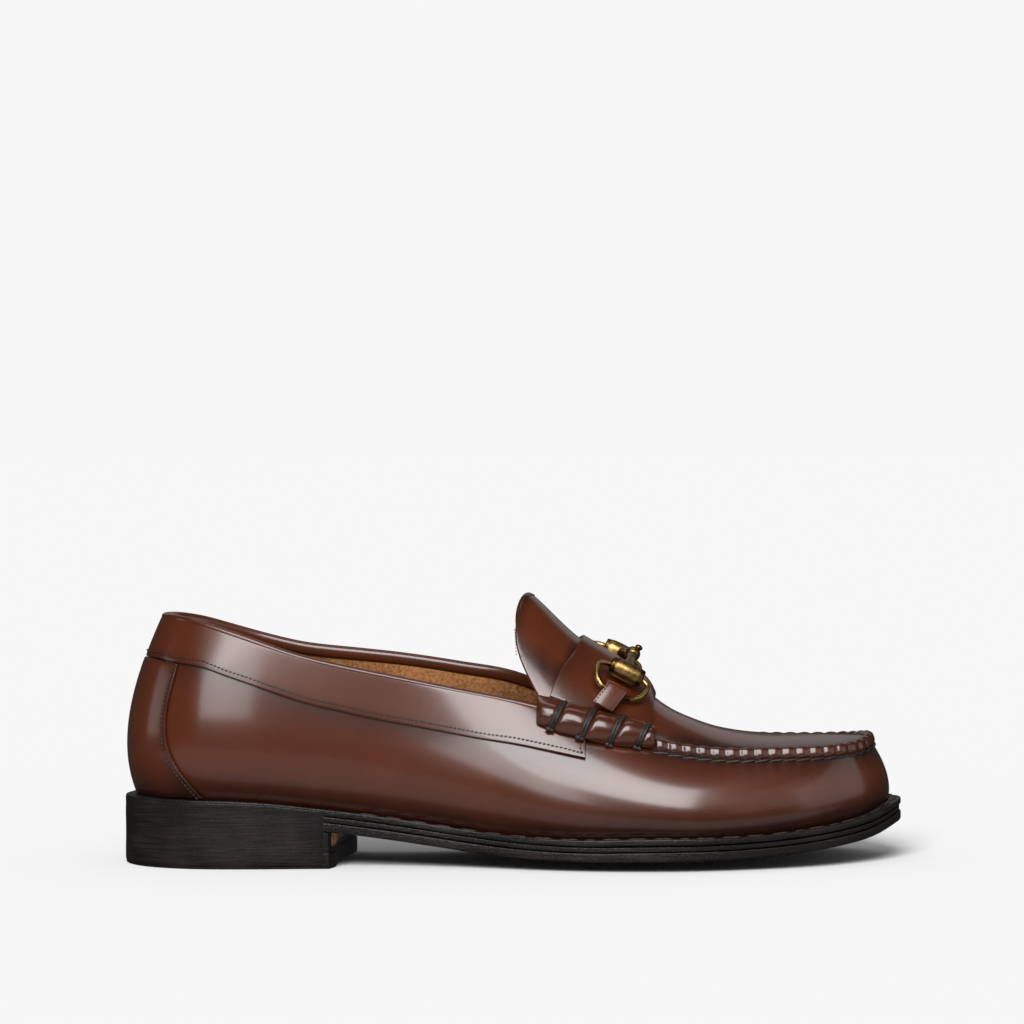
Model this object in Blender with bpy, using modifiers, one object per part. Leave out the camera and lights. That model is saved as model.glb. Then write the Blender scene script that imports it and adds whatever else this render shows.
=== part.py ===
# Bit loafer, right shoe: a stitched-down leather sole with a stacked heel carries a moccasin upper
# with a raised apron seam, a saddle held by two laced rolls, and a three-piece snaffle bit.
# X runs from heel to toe, Y to the medial side, Z up; the origin is on the floor under the middle.
from math import cos, exp, pi, radians, sin

import bmesh
import bpy
from mathutils import Matrix, Vector

# Driving sizes of the shoe, in metres
SOLE_LENGTH = 0.302
BALL_WIDTH = 0.1045
SEAT_HEIGHT = 0.0181
TOE_SPRING = 0.0148
EDGE_RISE = 0.0038
TREAD_FLAT = 0.46
UPPER_HEIGHT = 0.095
UPPER_WALL = 0.002
FIT_GAP = 0.0003

# Sizes of the sole's layers and of the heel
OUTSOLE_THICK = 0.0035
MIDSOLE_THICK = 0.0019
WELT_THICK = 0.0024
MIDSOLE_INSET = 0.0006
INSOLE_THICK = 0.0022
TOP_LIFT_THICK = 0.006
HEEL_CENTRE = 0.042
BREAST_AT = 0.0836
BREAST_SKEW = 0.0086
BREAST_HOLLOW = 0.004

# Sizes of the leather pieces laid on the upper
OVERLAY_THICK = 0.0012
SADDLE_THICK = 0.0016
TONGUE_THICK = 0.0018
BAND_WIDTH = 0.0165
SADDLE_RISE = 0.0018
ROLL_RISE = 0.0045
LACE_PINCH = 0.0030
SEAM_WIDTH = 0.0046
SEAM_RISE = 0.0023
SEAM_GAP = 0.0005

# Sizes of the metal bit and the tabs that hold it
RING_WIRE = 0.0012
RING_LENGTH = 0.0210
RING_REACH = 0.0121
BARREL_RADIUS = 0.0040
BARREL_LENGTH = 0.0136
ARM_RADIUS = 0.0022
LINK_RADIUS = 0.0030
TAB_WIDTH = 0.0085
TAB_THICK = 0.0010
TAB_LENGTH = 0.0080
TAB_SHIFT = -0.0012
TAB_SLACK = 0.0003
TAB_CLEAR = 0.0011
TAB_DROP = 0.0010
RING_CORNER = 0.0030
RING_SQUARE = 0.55

# How finely the upper and the sole are divided
FAN_SHARE = 0.17
FAN_STEPS = 9
SIDE_STEPS = 24
SOLE_SIDE_STEPS = 12
WALL_STEPS = 9
TOP_STEPS = 6
SOLE_RINGS = (0.44, 0.0)

# Outline of the outsole: share of the length from the heel, share of the ball width to each side
OUTLINE = [
    # along, lateral, medial
    (0.011, 0.124, 0.124),
    (0.038, 0.225, 0.225),
    (0.089, 0.301, 0.301),
    (0.159, 0.325, 0.321),
    (0.265, 0.320, 0.297),
    (0.364, 0.330, 0.272),
    (0.457, 0.378, 0.301),
    (0.546, 0.469, 0.383),
    (0.646, 0.521, 0.464),
    (0.728, 0.521, 0.484),
    (0.811, 0.464, 0.456),
    (0.887, 0.378, 0.392),
    (0.950, 0.250, 0.287),
    (0.988, 0.112, 0.165),
]
TOE_TIP_SHIFT = 0.029

# Rim of the walls: the collar behind, the apron seam in front
RIM = [
    # along, lateral, medial: plan as in OUTLINE; then heights as shares of the upper's height
    (0.068, 0.120, 0.115, 0.998, 0.996),
    (0.103, 0.196, 0.187, 0.977, 0.972),
    (0.161, 0.244, 0.234, 0.919, 0.916),
    (0.225, 0.263, 0.254, 0.848, 0.865),
    (0.290, 0.273, 0.268, 0.798, 0.840),
    (0.354, 0.278, 0.278, 0.756, 0.817),
    (0.430, 0.282, 0.287, 0.705, 0.779),
    (0.508, 0.292, 0.306, 0.653, 0.728),
    (0.596, 0.311, 0.325, 0.577, 0.600),
    (0.679, 0.321, 0.335, 0.503, 0.516),
    (0.755, 0.316, 0.330, 0.466, 0.477),
    (0.828, 0.287, 0.306, 0.463, 0.472),
    (0.894, 0.235, 0.262, 0.465, 0.474),
    (0.937, 0.142, 0.178, 0.477, 0.484),
]
RIM_HEEL = (0.053, 0.0, 1.0)
RIM_TOE = (0.957, 0.029, 0.498)

# Ridge of the instep and crown of the apron
RIDGE = [
    # along, shift to the medial side, height
    (0.000, 0.000, 1.400),
    (0.364, 0.020, 1.300),
    (0.490, 0.055, 1.165),
    (0.525, 0.057, 1.084),
    (0.583, 0.057, 0.908),
    (0.616, 0.056, 0.838),
    (0.639, 0.055, 0.789),
    (0.659, 0.053, 0.732),
    (0.679, 0.050, 0.662),
    (0.693, 0.048, 0.622),
    (0.724, 0.043, 0.577),
    (0.770, 0.035, 0.526),
    (0.835, 0.024, 0.503),
    (1.000, 0.024, 0.503),
]

# Underside of the outsole along the middle: share of the seat height, then of the toe spring
SHANK = [(0.000, 1.000), (0.150, 0.961), (0.275, 0.757), (0.328, 0.641), (0.391, 0.486),
         (0.457, 0.298), (0.520, 0.130), (0.560, 0.038), (0.590, 0.000)]
SPRING = [(0.722, 0.000), (0.768, 0.054), (0.815, 0.142), (0.868, 0.304), (0.914, 0.486),
          (0.960, 0.716), (1.000, 1.000)]

# Share of the edge's rise along the sole
RISE_FADE = [(0.36, 0.0), (0.58, 1.0)]

# Ledge of the welt outside the upper, and how far the walls swell beyond it
LEDGE = [(0.00, 0.0074), (0.15, 0.0056), (0.40, 0.0050), (0.65, 0.0068), (0.85, 0.0066), (1.00, 0.0062)]
SWELL = [(0.00, 0.0060), (0.15, 0.0048), (0.40, 0.0044), (0.65, 0.0040), (0.85, 0.0032), (1.00, 0.0022)]

HEEL_HALF = 0.32
MID_SHIFT = (max(row[1] for row in OUTLINE) - max(row[2] for row in OUTLINE)) / 2
HEEL_FAN_AT = 0.109
TOE_FAN_AT = 0.835
THROAT_AT = 0.600
THROAT_SLANT = 0.042
SADDLE_REACH = 0.93
BAND_END = 0.590

# Colour, roughness and metallic value of each material
BROWN_LEATHER = ("brown_leather", (0.105, 0.026, 0.010, 1.0), 0.22, 0.0)
DARK_LEATHER = ("dark_leather", (0.075, 0.018, 0.008, 1.0), 0.28, 0.0)
BLACK_SOLE = ("black_sole", (0.012, 0.010, 0.009, 1.0), 0.35, 0.0)
TAN_LINING = ("tan_lining", (0.260, 0.135, 0.050, 1.0), 0.85, 0.0)
ANTIQUE_BRASS = ("antique_brass", (0.330, 0.200, 0.070, 1.0), 0.32, 1.0)


def clear_scene():
    for old in list(bpy.data.objects):
        bpy.data.objects.remove(old, do_unlink=True)


def new_collection(name):
    collection = bpy.data.collections.new(name)
    bpy.context.scene.collection.children.link(collection)
    return collection


def material(finish):
    name, colour, roughness, metallic = finish
    made = bpy.data.materials.get(name) or bpy.data.materials.new(name)
    made.use_nodes = True
    shader = made.node_tree.nodes["Principled BSDF"]
    shader.inputs["Base Color"].default_value = colour
    shader.inputs["Roughness"].default_value = roughness
    shader.inputs["Metallic"].default_value = metallic
    return made


def add_piece(name, mesh, finish):
    piece = bpy.data.objects.new(name, mesh)
    piece.data.materials.append(material(finish))
    SHOE.objects.link(piece)
    piece.data.shade_smooth()
    piece.data.set_sharp_from_angle(angle=radians(40))
    return piece


def mesh_from(shape, name):
    mesh = bpy.data.meshes.new(name)
    shape.to_mesh(mesh)
    shape.free()
    return mesh


# Smooth curves through the tables

def rising(rows, at, column=1):
    """Value at a share of the length, on a curve that never overshoots its rows."""
    places = [row[0] for row in rows]
    values = [row[column] for row in rows]
    if at <= places[0]:
        return values[0]
    if at >= places[-1]:
        return values[-1]
    index = max(i for i in range(len(places) - 1) if places[i] <= at)
    slopes = [slope_at(places, values, i) for i in (index, index + 1)]
    span = places[index + 1] - places[index]
    t = (at - places[index]) / span
    start, end = values[index], values[index + 1]
    return (start * (2 * t ** 3 - 3 * t ** 2 + 1) + end * (3 * t ** 2 - 2 * t ** 3)
            + span * slopes[0] * (t ** 3 - 2 * t ** 2 + t) + span * slopes[1] * (t ** 3 - t ** 2))


def slope_at(places, values, i):
    if i == 0 or i == len(places) - 1:
        return 0.0
    before = (values[i] - values[i - 1]) / (places[i] - places[i - 1])
    after = (values[i + 1] - values[i]) / (places[i + 1] - places[i])
    if before * after <= 0:
        return 0.0
    return 2 * before * after / (before + after)


def closed_curve(points, steps=10):
    """A closed smooth curve through the points, as a fine polygon."""
    fine = []
    count = len(points)
    for i in range(count):
        a, b, c, d = (points[(i + k) % count] for k in (-1, 0, 1, 2))
        for k in range(steps):
            t = k / steps
            fine.append(0.5 * (2 * b + (c - a) * t + (2 * a - 5 * b + 4 * c - d) * t ** 2
                               + (3 * b - a - 3 * c + d) * t ** 3))
    return fine


def place(along, across, height=0.0):
    """World place of a share of the length, a share of the ball width and a height."""
    return Vector(((along - 0.5) * SOLE_LENGTH, (across + MID_SHIFT) * BALL_WIDTH, height))


def side_share(point):
    """A point's distance from the heel's middle line, as a share of the ball width."""
    return point.y / BALL_WIDTH - MID_SHIFT


def outline_curve():
    points = [place(0, 0)]
    points += [place(row[0], -row[1]) for row in OUTLINE]
    points += [place(1, TOE_TIP_SHIFT)]
    points += [place(row[0], row[2]) for row in reversed(OUTLINE)]
    return closed_curve(points)


def rim_curve():
    points = [place(RIM_HEEL[0], RIM_HEEL[1], RIM_HEEL[2] * UPPER_HEIGHT)]
    points += [place(row[0], -row[1], row[3] * UPPER_HEIGHT) for row in RIM]
    points += [place(RIM_TOE[0], RIM_TOE[1], RIM_TOE[2] * UPPER_HEIGHT)]
    points += [place(row[0], row[2], row[4] * UPPER_HEIGHT) for row in reversed(RIM)]
    return closed_curve(points)


def reach(curve, origin, direction):
    """Where a level ray from the origin leaves a closed curve: the distance and the point."""
    best = None
    for a, b in zip(curve, curve[1:] + curve[:1]):
        edge = b - a
        cross = direction.x * edge.y - direction.y * edge.x
        if abs(cross) < 1e-12:
            continue
        to_a = a - origin
        along = (to_a.x * edge.y - to_a.y * edge.x) / cross
        share = (to_a.x * direction.y - to_a.y * direction.x) / cross
        if along > 0 and -1e-6 <= share <= 1 + 1e-6 and (best is None or along > best[0]):
            best = (along, a.lerp(b, share))
    return best


# Rays that leave the middle line of the shoe: they fan round the heel and round the toe

def share_along(point):
    return point.x / SOLE_LENGTH + 0.5


def middle(along):
    return place(along, rising(RIDGE, along, 1))


def ray(turn):
    """Origin and direction of the ray at a turn: 0 heel, 1 toe, lateral below 1, medial above."""
    side = -1 if turn <= 1 else 1
    half = turn if turn <= 1 else 2 - turn
    if half < FAN_SHARE:
        angle = half / FAN_SHARE * pi / 2
        return middle(HEEL_FAN_AT), Vector((-cos(angle), side * sin(angle), 0))
    if half > 1 - FAN_SHARE:
        angle = (half - 1 + FAN_SHARE) / FAN_SHARE * pi / 2
        return middle(TOE_FAN_AT), Vector((sin(angle), side * cos(angle), 0))
    run = (half - FAN_SHARE) / (1 - 2 * FAN_SHARE)
    return middle(HEEL_FAN_AT + run * (TOE_FAN_AT - HEEL_FAN_AT)), Vector((0, side, 0))


def turn_at(along, side):
    """The turn whose ray crosses the shoe at a share of the length."""
    run = (along - HEEL_FAN_AT) / (TOE_FAN_AT - HEEL_FAN_AT)
    half = FAN_SHARE + run * (1 - 2 * FAN_SHARE)
    return half if side < 0 else 2 - half


def turns(side_steps):
    half = [FAN_SHARE * i / FAN_STEPS for i in range(FAN_STEPS)]
    half += [FAN_SHARE + (1 - 2 * FAN_SHARE) * i / side_steps for i in range(side_steps)]
    half += [1 - FAN_SHARE + FAN_SHARE * i / FAN_STEPS for i in range(FAN_STEPS)]
    return half + [1.0] + [2 - t for t in reversed(half[1:])]


# The last: height of the sole, and the outer skin of the upper

def tread_height(point):
    """Underside of the outsole: the seat, the arch, the flat tread and the toe spring."""
    along = share_along(point)
    middle_height = rising(SHANK, along) * SEAT_HEIGHT + rising(SPRING, along) * TOE_SPRING
    across = side_share(point)
    lift = max(0.0, 2 * abs(across) - TREAD_FLAT) / (1 - TREAD_FLAT)
    most = EDGE_RISE if across < 0 else EDGE_RISE / 2
    return middle_height + most * lift ** 1.6 * rising(RISE_FADE, along)


def feather_height(point):
    return tread_height(point) + OUTSOLE_THICK + MIDSOLE_THICK + 2 * FIT_GAP


def bed_height(origin, direction, out, edge_out):
    """Height of the feather on the straight run from the flat tread's ring to the sole's edge."""
    ring_out = SOLE_RINGS[0] * edge_out
    ring = feather_height(origin + ring_out * direction)
    edge = feather_height(origin + edge_out * direction)
    return ring + (edge - ring) * (out - ring_out) / (edge_out - ring_out)


class Column:
    """One upright line of the last, from the feather over the rim to the ridge."""

    def __init__(self, turn):
        self.origin, self.direction = ray(turn)
        edge = reach(OUTLINE_CURVE, self.origin, self.direction)
        along = share_along(edge[1])
        self.edge_reach = edge[0]
        self.foot_reach = edge[0] - rising(LEDGE, along)
        self.swell = rising(SWELL, along)
        self.foot_height = self.bed(self.foot_reach) + FIT_GAP
        rim = reach(RIM_CURVE, self.origin, self.direction)
        self.rim_reach = rim[0]
        self.rim_height = rim[1].z
        self.ridge_height = rising(RIDGE, share_along(self.origin), 2) * UPPER_HEIGHT

    def bed(self, out):
        return bed_height(self.origin, self.direction, out, self.edge_reach)

    def wall(self, t):
        lean = (self.rim_reach - self.foot_reach) * t ** 2.3
        out = self.foot_reach + lean + self.swell * sin(pi * t ** 0.7)
        height = self.foot_height + (self.rim_height - self.foot_height) * t
        return self.origin + out * self.direction + Vector((0, 0, height))

    def top(self, t):
        out = self.rim_reach * (1 - t)
        crown = 1 - (1 - t) ** 2.1
        height = self.rim_height + (self.ridge_height - self.rim_height) * crown
        return self.origin + out * self.direction + Vector((0, 0, height))

    def at(self, v):
        return self.wall(v) if v <= 1 else self.top(min(v, 2) - 1)


def skin(turn, v, lift=0.0):
    """A point of the upper's outer skin, lifted square to it."""
    point = Column(turn).at(v)
    if not lift:
        return point
    step = 0.004
    low = min(max(v - 0.02, 0.0), 1.96)
    up = Column(turn).at(low + 0.04) - Column(turn).at(low)
    round_shoe = Column(min(turn + step, 2)).at(v) - Column(max(turn - step, 0)).at(v)
    outward = round_shoe.cross(up).normalized()
    return point + lift * outward


# Solids made from grids of points

def weld(shape, distance=1e-6):
    bmesh.ops.remove_doubles(shape, verts=shape.verts, dist=distance)
    bmesh.ops.dissolve_degenerate(shape, edges=shape.edges, dist=1e-7)


def grid_faces(shape, rows):
    """A sheet of four-sided faces through rows of points."""
    made = [[shape.verts.new(point) for point in row] for row in rows]
    for lower, upper in zip(made, made[1:]):
        for i in range(len(lower) - 1):
            shape.faces.new((lower[i], lower[i + 1], upper[i + 1], upper[i]))
    return made


def face_outwards(shape):
    bmesh.ops.recalc_face_normals(shape, faces=shape.faces)


def layered(name, outer, inner):
    """A closed sheet between two grids of points that are laid out alike."""
    shape = bmesh.new()
    over = grid_faces(shape, outer)
    under = grid_faces(shape, inner)

    def border(grid):
        return (grid[0] + [row[-1] for row in grid[1:-1]] + grid[-1][::-1]
                + [row[0] for row in grid[-2:0:-1]])

    rim_over, rim_under = border(over), border(under)
    for i in range(len(rim_over)):
        j = (i + 1) % len(rim_over)
        shape.faces.new((rim_over[i], rim_over[j], rim_under[j], rim_under[i]))
    weld(shape)
    face_outwards(shape)
    return mesh_from(shape, name)


def plate(name, origins, edges, guides, rings, under, over, edge_drops=None):
    """A closed plate from a middle line to an edge, between two height rules.

    The inner rings are shares of the way to the guides, so that plates on each other fold alike.
    """
    shape = bmesh.new()
    count = len(edges)
    drops = edge_drops or [0.0] * count
    for height, flip in ((under, True), (over, False)):
        rows = [[shape.verts.new((p.x, p.y, height(p) + drop)) for p, drop in zip(edges, drops)]]
        for ring in rings:
            row = [origins[i].lerp(guides[i], ring) for i in range(count)]
            rows.append([shape.verts.new((p.x, p.y, height(p))) for p in row])
        for outer, inner in zip(rows, rows[1:]):
            for i in range(count):
                j = (i + 1) % count
                shape.faces.new((outer[i], outer[j], inner[j], inner[i]))
        if flip:
            low_ring = rows[0]
        else:
            high_ring = rows[0]
    for i in range(count):
        j = (i + 1) % count
        shape.faces.new((low_ring[i], low_ring[j], high_ring[j], high_ring[i]))
    weld(shape)
    face_outwards(shape)
    return mesh_from(shape, name)


# Sole

def sole_rays(inset):
    """Origins on the middle line and points on the outline, taken in by an inset."""
    origins, edges = [], []
    for turn in turns(SOLE_SIDE_STEPS)[:-1]:
        origin, direction = ray(turn)
        out = reach(OUTLINE_CURVE, origin, direction)[0] - inset
        origins.append(origin)
        edges.append(origin + out * direction)
    return origins, edges


def make_outsole():
    origins, edges = sole_rays(0.0)
    mesh = plate("outsole", origins, edges, edges, SOLE_RINGS, tread_height,
                 lambda p: tread_height(p) + OUTSOLE_THICK)
    return add_piece("outsole", mesh, BLACK_SOLE)


def make_midsole():
    origins, guides = sole_rays(0.0)
    edges = sole_rays(MIDSOLE_INSET)[1]
    base = OUTSOLE_THICK + FIT_GAP
    mesh = plate("midsole", origins, edges, guides, SOLE_RINGS, lambda p: tread_height(p) + base,
                 lambda p: tread_height(p) + base + MIDSOLE_THICK)
    return add_piece("midsole", mesh, BLACK_SOLE)


def make_welt():
    """The ring of leather that the upper stands in."""
    shape = bmesh.new()
    loops = [[], [], [], []]
    for turn in turns(SIDE_STEPS)[:-1]:
        column = Column(turn)
        share = WELT_THICK / (column.rim_height - column.foot_height)
        wall = (column.wall(share) - column.origin).xy.length
        inside = max(wall, column.foot_reach) + FIT_GAP
        for loop, (out, rise) in zip(loops, ((column.edge_reach, 0), (column.edge_reach, 1),
                                             (inside, 1), (inside, 0))):
            point = column.origin + out * column.direction
            base = feather_height(column.origin + column.edge_reach * column.direction)
            loop.append(shape.verts.new((point.x, point.y, base + rise * WELT_THICK)))
    count = len(loops[0])
    for k in range(4):
        near, far = loops[k], loops[(k + 1) % 4]
        for i in range(count):
            j = (i + 1) % count
            shape.faces.new((near[i], near[j], far[j], far[i]))
    face_outwards(shape)
    return add_piece("welt", mesh_from(shape, "welt"), BLACK_SOLE)


def breast_reach(origin, direction):
    """How far a ray from the heel's middle runs to the hollow front face of the heel."""
    out = 0.0
    while out < 0.08:
        point = origin + out * direction
        across = side_share(point) / HEEL_HALF
        front = BREAST_AT + BREAST_SKEW * (across + 1) / 2 - BREAST_HOLLOW * (1 - across ** 2)
        if point.x + SOLE_LENGTH / 2 >= front:
            return out
        out += 0.0001
    return out


def heel_edges(inset):
    origin = place(HEEL_CENTRE / SOLE_LENGTH, 0)
    corners = []
    angles = [pi - 2 * pi * i / 44 for i in range(44)]
    for angle in angles:
        direction = Vector((cos(angle), -sin(angle), 0))
        side = reach(OUTLINE_CURVE, origin, direction)[0] - inset
        corners.append(origin + min(side, breast_reach(origin, direction)) * direction)
    return [origin] * len(corners), corners


def make_heel():
    origins, edges = heel_edges(0.0)
    lift = plate("top_lift", origins, edges, edges, (0.0,), lambda p: 0.0, lambda p: TOP_LIFT_THICK)
    add_piece("top_lift", lift, BLACK_SOLE)
    origins, edges = heel_edges(0.0003)
    stack = plate("heel_stack", origins, edges, edges, (0.6, 0.0), lambda p: TOP_LIFT_THICK + FIT_GAP,
                  lambda p: tread_height(p) - FIT_GAP)
    add_piece("heel_stack", stack, BLACK_SOLE)


def make_insole():
    """The footbed, just inside the walls and level with the feather."""
    origins, guides = sole_rays(0.0)
    edges, drops = [], []
    for turn in turns(SOLE_SIDE_STEPS)[:-1]:
        column = Column(turn)
        out = column.foot_reach - UPPER_WALL - 4 * FIT_GAP
        edges.append(column.origin + out * column.direction)
        drops.append(column.bed(out) - feather_height(edges[-1]))
    mesh = plate("insole", origins, edges, guides, SOLE_RINGS, feather_height,
                 lambda p: feather_height(p) + INSOLE_THICK, drops)
    return add_piece("insole", mesh, TAN_LINING)


# Upper and the leather laid on it

def throat_turn(v, side):
    """Turn of the throat's edge: it slants forward from the collar to the ridge."""
    along = THROAT_AT - THROAT_SLANT * (2 - max(v, 1))
    return turn_at(along, side)


def make_upper():
    """Walls all round and the front's top, as one skin with the wall's thickness inside it."""
    shape = bmesh.new()
    steps = turns(SIDE_STEPS)[:-1]
    back = throat_turn(1, -1)
    nearest = min(range(len(steps)), key=lambda i: abs(steps[i] - back))
    last_turn = 2 - steps[nearest]
    columns = [Column(turn) for turn in steps]
    rows = [[column.wall(i / WALL_STEPS) for column in columns] for i in range(WALL_STEPS + 1)]
    grid_faces(shape, [row + row[:1] for row in rows])
    front = [t for t in steps if steps[nearest] <= t <= last_turn + 1e-9]
    top_rows = []
    for i in range(TOP_STEPS + 1):
        v = 1 + i / TOP_STEPS
        top_rows.append([top_point(turn, v, front[0]) for turn in front])
    grid_faces(shape, top_rows)
    weld(shape, 2e-6)
    face_outwards(shape)
    upper = add_piece("upper", mesh_from(shape, "upper"), BROWN_LEATHER)
    wall = upper.modifiers.new("wall", "SOLIDIFY")
    wall.thickness = UPPER_WALL
    wall.offset = -1
    wall.use_even_offset = True
    return upper


def top_point(turn, v, first):
    """A point of the front's top: the columns near the throat lean forward with its slant."""
    side = -1 if turn <= 1 else 1
    half = turn if turn <= 1 else 2 - turn
    fan_start = 1 - FAN_SHARE
    if half >= fan_start:
        return Column(turn).at(v)
    begin = turn_at(THROAT_AT - THROAT_SLANT * (2 - v), -1) - turn_at(THROAT_AT - THROAT_SLANT, -1)
    shift = begin * (fan_start - half) / (fan_start - first)
    moved = half + shift
    return Column(moved if side < 0 else 2 - moved).at(v)


def make_tongue():
    """The flap behind the saddle, which goes on from the throat and ends in a raised tip."""
    widths = [i / 12 for i in range(13)]
    outer, inner = [], []
    for k in range(7):
        run = k / 6
        outer_row, inner_row = [], []
        for share in widths:
            w = 2 * share - 1
            side = -1 if w <= 0 else 1
            v = 2 - abs(w) * 0.94
            front = THROAT_AT - THROAT_SLANT * (2 - v) - 2 * FIT_GAP / SOLE_LENGTH
            back = tongue_edge(abs(w))
            along = front + (back - front) * run
            turn = turn_at(along, side)
            outer_row.append(skin(turn, v))
            inner_row.append(skin(turn, v, -TONGUE_THICK))
        outer.append(outer_row)
        inner.append(inner_row)
    return add_piece("tongue", layered("tongue", outer, inner), BROWN_LEATHER)


TONGUE_EDGE = [(0.00, 0.5250), (0.25, 0.5165), (0.50, 0.5080), (0.66, 0.5030), (0.76, 0.5020),
               (0.84, 0.5050), (0.91, 0.5130), (0.96, 0.5240), (1.00, 0.5320)]


def tongue_edge(w):
    return rising(TONGUE_EDGE, w)


def band_low(turn):
    """Height share of the collar band's lower edge, from its width down the wall."""
    column = Column(turn)
    run, v = 0.0, 1.0
    previous = column.wall(1.0)
    while run < BAND_WIDTH:
        v -= 0.01
        point = column.wall(v)
        run += (point - previous).length
        previous = point
    return v


def overlay_rows(params, gap, thick):
    outer = [[skin(turn, v, gap + thick) for turn, v in row] for row in params]
    inner = [[skin(turn, v, gap) for turn, v in row] for row in params]
    return outer, inner


def make_collar_band():
    """The strip sewn round the collar, as one piece from front end to front end."""
    end = turn_at(BAND_END, -1)
    count = 44
    params = []
    for i in range(4):
        row = []
        for k in range(count + 1):
            turn = end * (1 - 2 * k / count)
            real = turn if turn >= 0 else 2 + turn
            real = min(max(real, 0.0), 2.0)
            low = band_low(real)
            row.append((real, low + (1.0 - low) * i / 3))
        params.append(row)
    outer, inner = overlay_rows(params, FIT_GAP, OVERLAY_THICK)
    return add_piece("collar_band", layered("collar_band", outer, inner), BROWN_LEATHER)


COUNTER_EDGE = [(0.00, 0.99), (0.12, 0.87), (0.25, 0.755), (0.42, 0.685), (0.60, 0.67), (0.80, 0.695), (1.00, 0.74)]


def make_counter():
    """The heel counter, from the seat to the band, with a curved front edge on each side."""
    params = []
    count = 18
    for i in range(9):
        share = i / 8
        row = []
        for k in range(count + 1):
            turn = FAN_SHARE * rising(COUNTER_EDGE, share) * (1 - 2 * k / count)
            real = min(max(turn if turn >= 0 else 2 + turn, 0.0), 2.0)
            column = Column(real)
            bottom = (WELT_THICK + 2 * FIT_GAP) / (column.rim_height - column.foot_height)
            top = band_low(real) - 0.008
            row.append((real, bottom + (top - bottom) * share))
        params.append(row)
    outer, inner = overlay_rows(params, FIT_GAP, OVERLAY_THICK)
    return add_piece("heel_counter", layered("heel_counter", outer, inner), BROWN_LEATHER)


SADDLE_REAR = [(0.0, 0.588), (0.5, 0.5775), (0.75, 0.5635), (1.0, 0.545)]
SADDLE_FRONT = [(0.0, 0.680), (1.0, 0.673)]
SADDLE_ARCH = [(0.0, 0.0), (0.25, 0.15), (0.75, 0.85), (0.88, 1.0), (1.0, 0.0)]


def saddle_lift(along, v):
    """How far the saddle's underside stands off the upper: it arches a little over the ridge."""
    w = min(abs(2 - v) / SADDLE_REACH, 1.0)
    rear, front = rising(SADDLE_REAR, w), rising(SADDLE_FRONT, w)
    run = (along - rear) / (front - rear)
    return FIT_GAP + SADDLE_RISE * rising(SADDLE_ARCH, run) * (1 - w ** 2)


def make_saddle():
    """The strap over the instep, from one roll to the other."""
    outer, inner = [], []
    for run in (0.0, 0.25, 0.5, 0.75, 0.88, 1.0):
        outer_row, inner_row = [], []
        for i in range(15):
            w = 2 * i / 14 - 1
            side = -1 if w <= 0 else 1
            rear, front = rising(SADDLE_REAR, abs(w)), rising(SADDLE_FRONT, abs(w))
            along = rear + (front - rear) * run
            turn = turn_at(along, side)
            v = 2 - abs(w) * SADDLE_REACH
            lift = saddle_lift(along, v)
            outer_row.append(skin(turn, v, lift + SADDLE_THICK))
            inner_row.append(skin(turn, v, lift))
        outer.append(outer_row)
        inner.append(inner_row)
    return add_piece("saddle", layered("saddle", outer, inner), BROWN_LEATHER)


ROLL = [
    # along, lowest and highest place across the rim
    (0.528, 0.870, 1.055),
    (0.560, 0.840, 1.070),
    (0.600, 0.845, 1.085),
    (0.640, 0.875, 1.100),
    (0.676, 0.915, 1.110),
]


# Places of the laces, as shares of the roll's length
LACES = (0.18, 0.43, 0.66, 0.87)


def roll_bed(along, v):
    """How far the roll's underside stands off the upper, above the band's and the saddle's ends."""
    clear_of_band = along > BAND_END + 0.006
    if v < 1.02 and clear_of_band:
        return FIT_GAP
    return saddle_lift(along, max(v, 2 - SADDLE_REACH)) + SADDLE_THICK + FIT_GAP


def make_roll(name, side):
    """The padded roll at one end of the saddle, drawn in by its laces."""
    outer, inner = [], []
    first, last = ROLL[0][0], ROLL[-1][0]
    long_steps, cross_steps = 16, 5
    for k in range(long_steps + 1):
        run = k / long_steps
        along = first + (last - first) * run
        low, high = rising(ROLL, along, 1), rising(ROLL, along, 2)
        turn = turn_at(along, side)
        pinch = max(exp(-((run - lace) * (last - first) * SOLE_LENGTH / LACE_PINCH) ** 2) for lace in LACES)
        swell = 1 - 0.16 * pinch
        ends = min(1.0, 0.55 + 4 * min(run, 1 - run))
        outer_row, inner_row = [], []
        for i in range(cross_steps + 1):
            share = i / cross_steps
            v = low + (high - low) * share
            rise = 0.0008 + ROLL_RISE * swell * ends * sin(pi * share) ** 0.7
            outer_row.append(skin(turn, v, 2 * FIT_GAP + SADDLE_THICK + rise))
            inner_row.append(skin(turn, v, roll_bed(along, v)))
        outer.append(outer_row)
        inner.append(inner_row)
    return add_piece(name, layered(name, outer, inner), DARK_LEATHER)


def make_seam():
    """The raised seam round the apron, from roll to roll."""
    start = turn_at(ROLL[-1][0] + 0.002, -1)
    count = 50
    outer, inner = [], []
    for k in range(count + 1):
        turn = start + (2 - 2 * start) * k / count
        column = Column(turn)
        half = SEAM_WIDTH / 2
        down = half / (column.rim_height - column.foot_height)
        over = half / column.rim_reach
        outer_row, inner_row = [], []
        for share, rise in ((-1.0, 0.25), (-0.72, 0.85), (0.0, 1.0), (0.72, 0.85), (1.0, 0.25)):
            v = 1 + (share * down if share < 0 else share * over)
            outer_row.append(skin(turn, v, SEAM_GAP + rise * SEAM_RISE))
            inner_row.append(skin(turn, v, SEAM_GAP))
        outer.append(outer_row)
        inner.append(inner_row)
    return add_piece("moc_seam", layered("moc_seam", outer, inner), DARK_LEATHER)


# The metal bit

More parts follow.
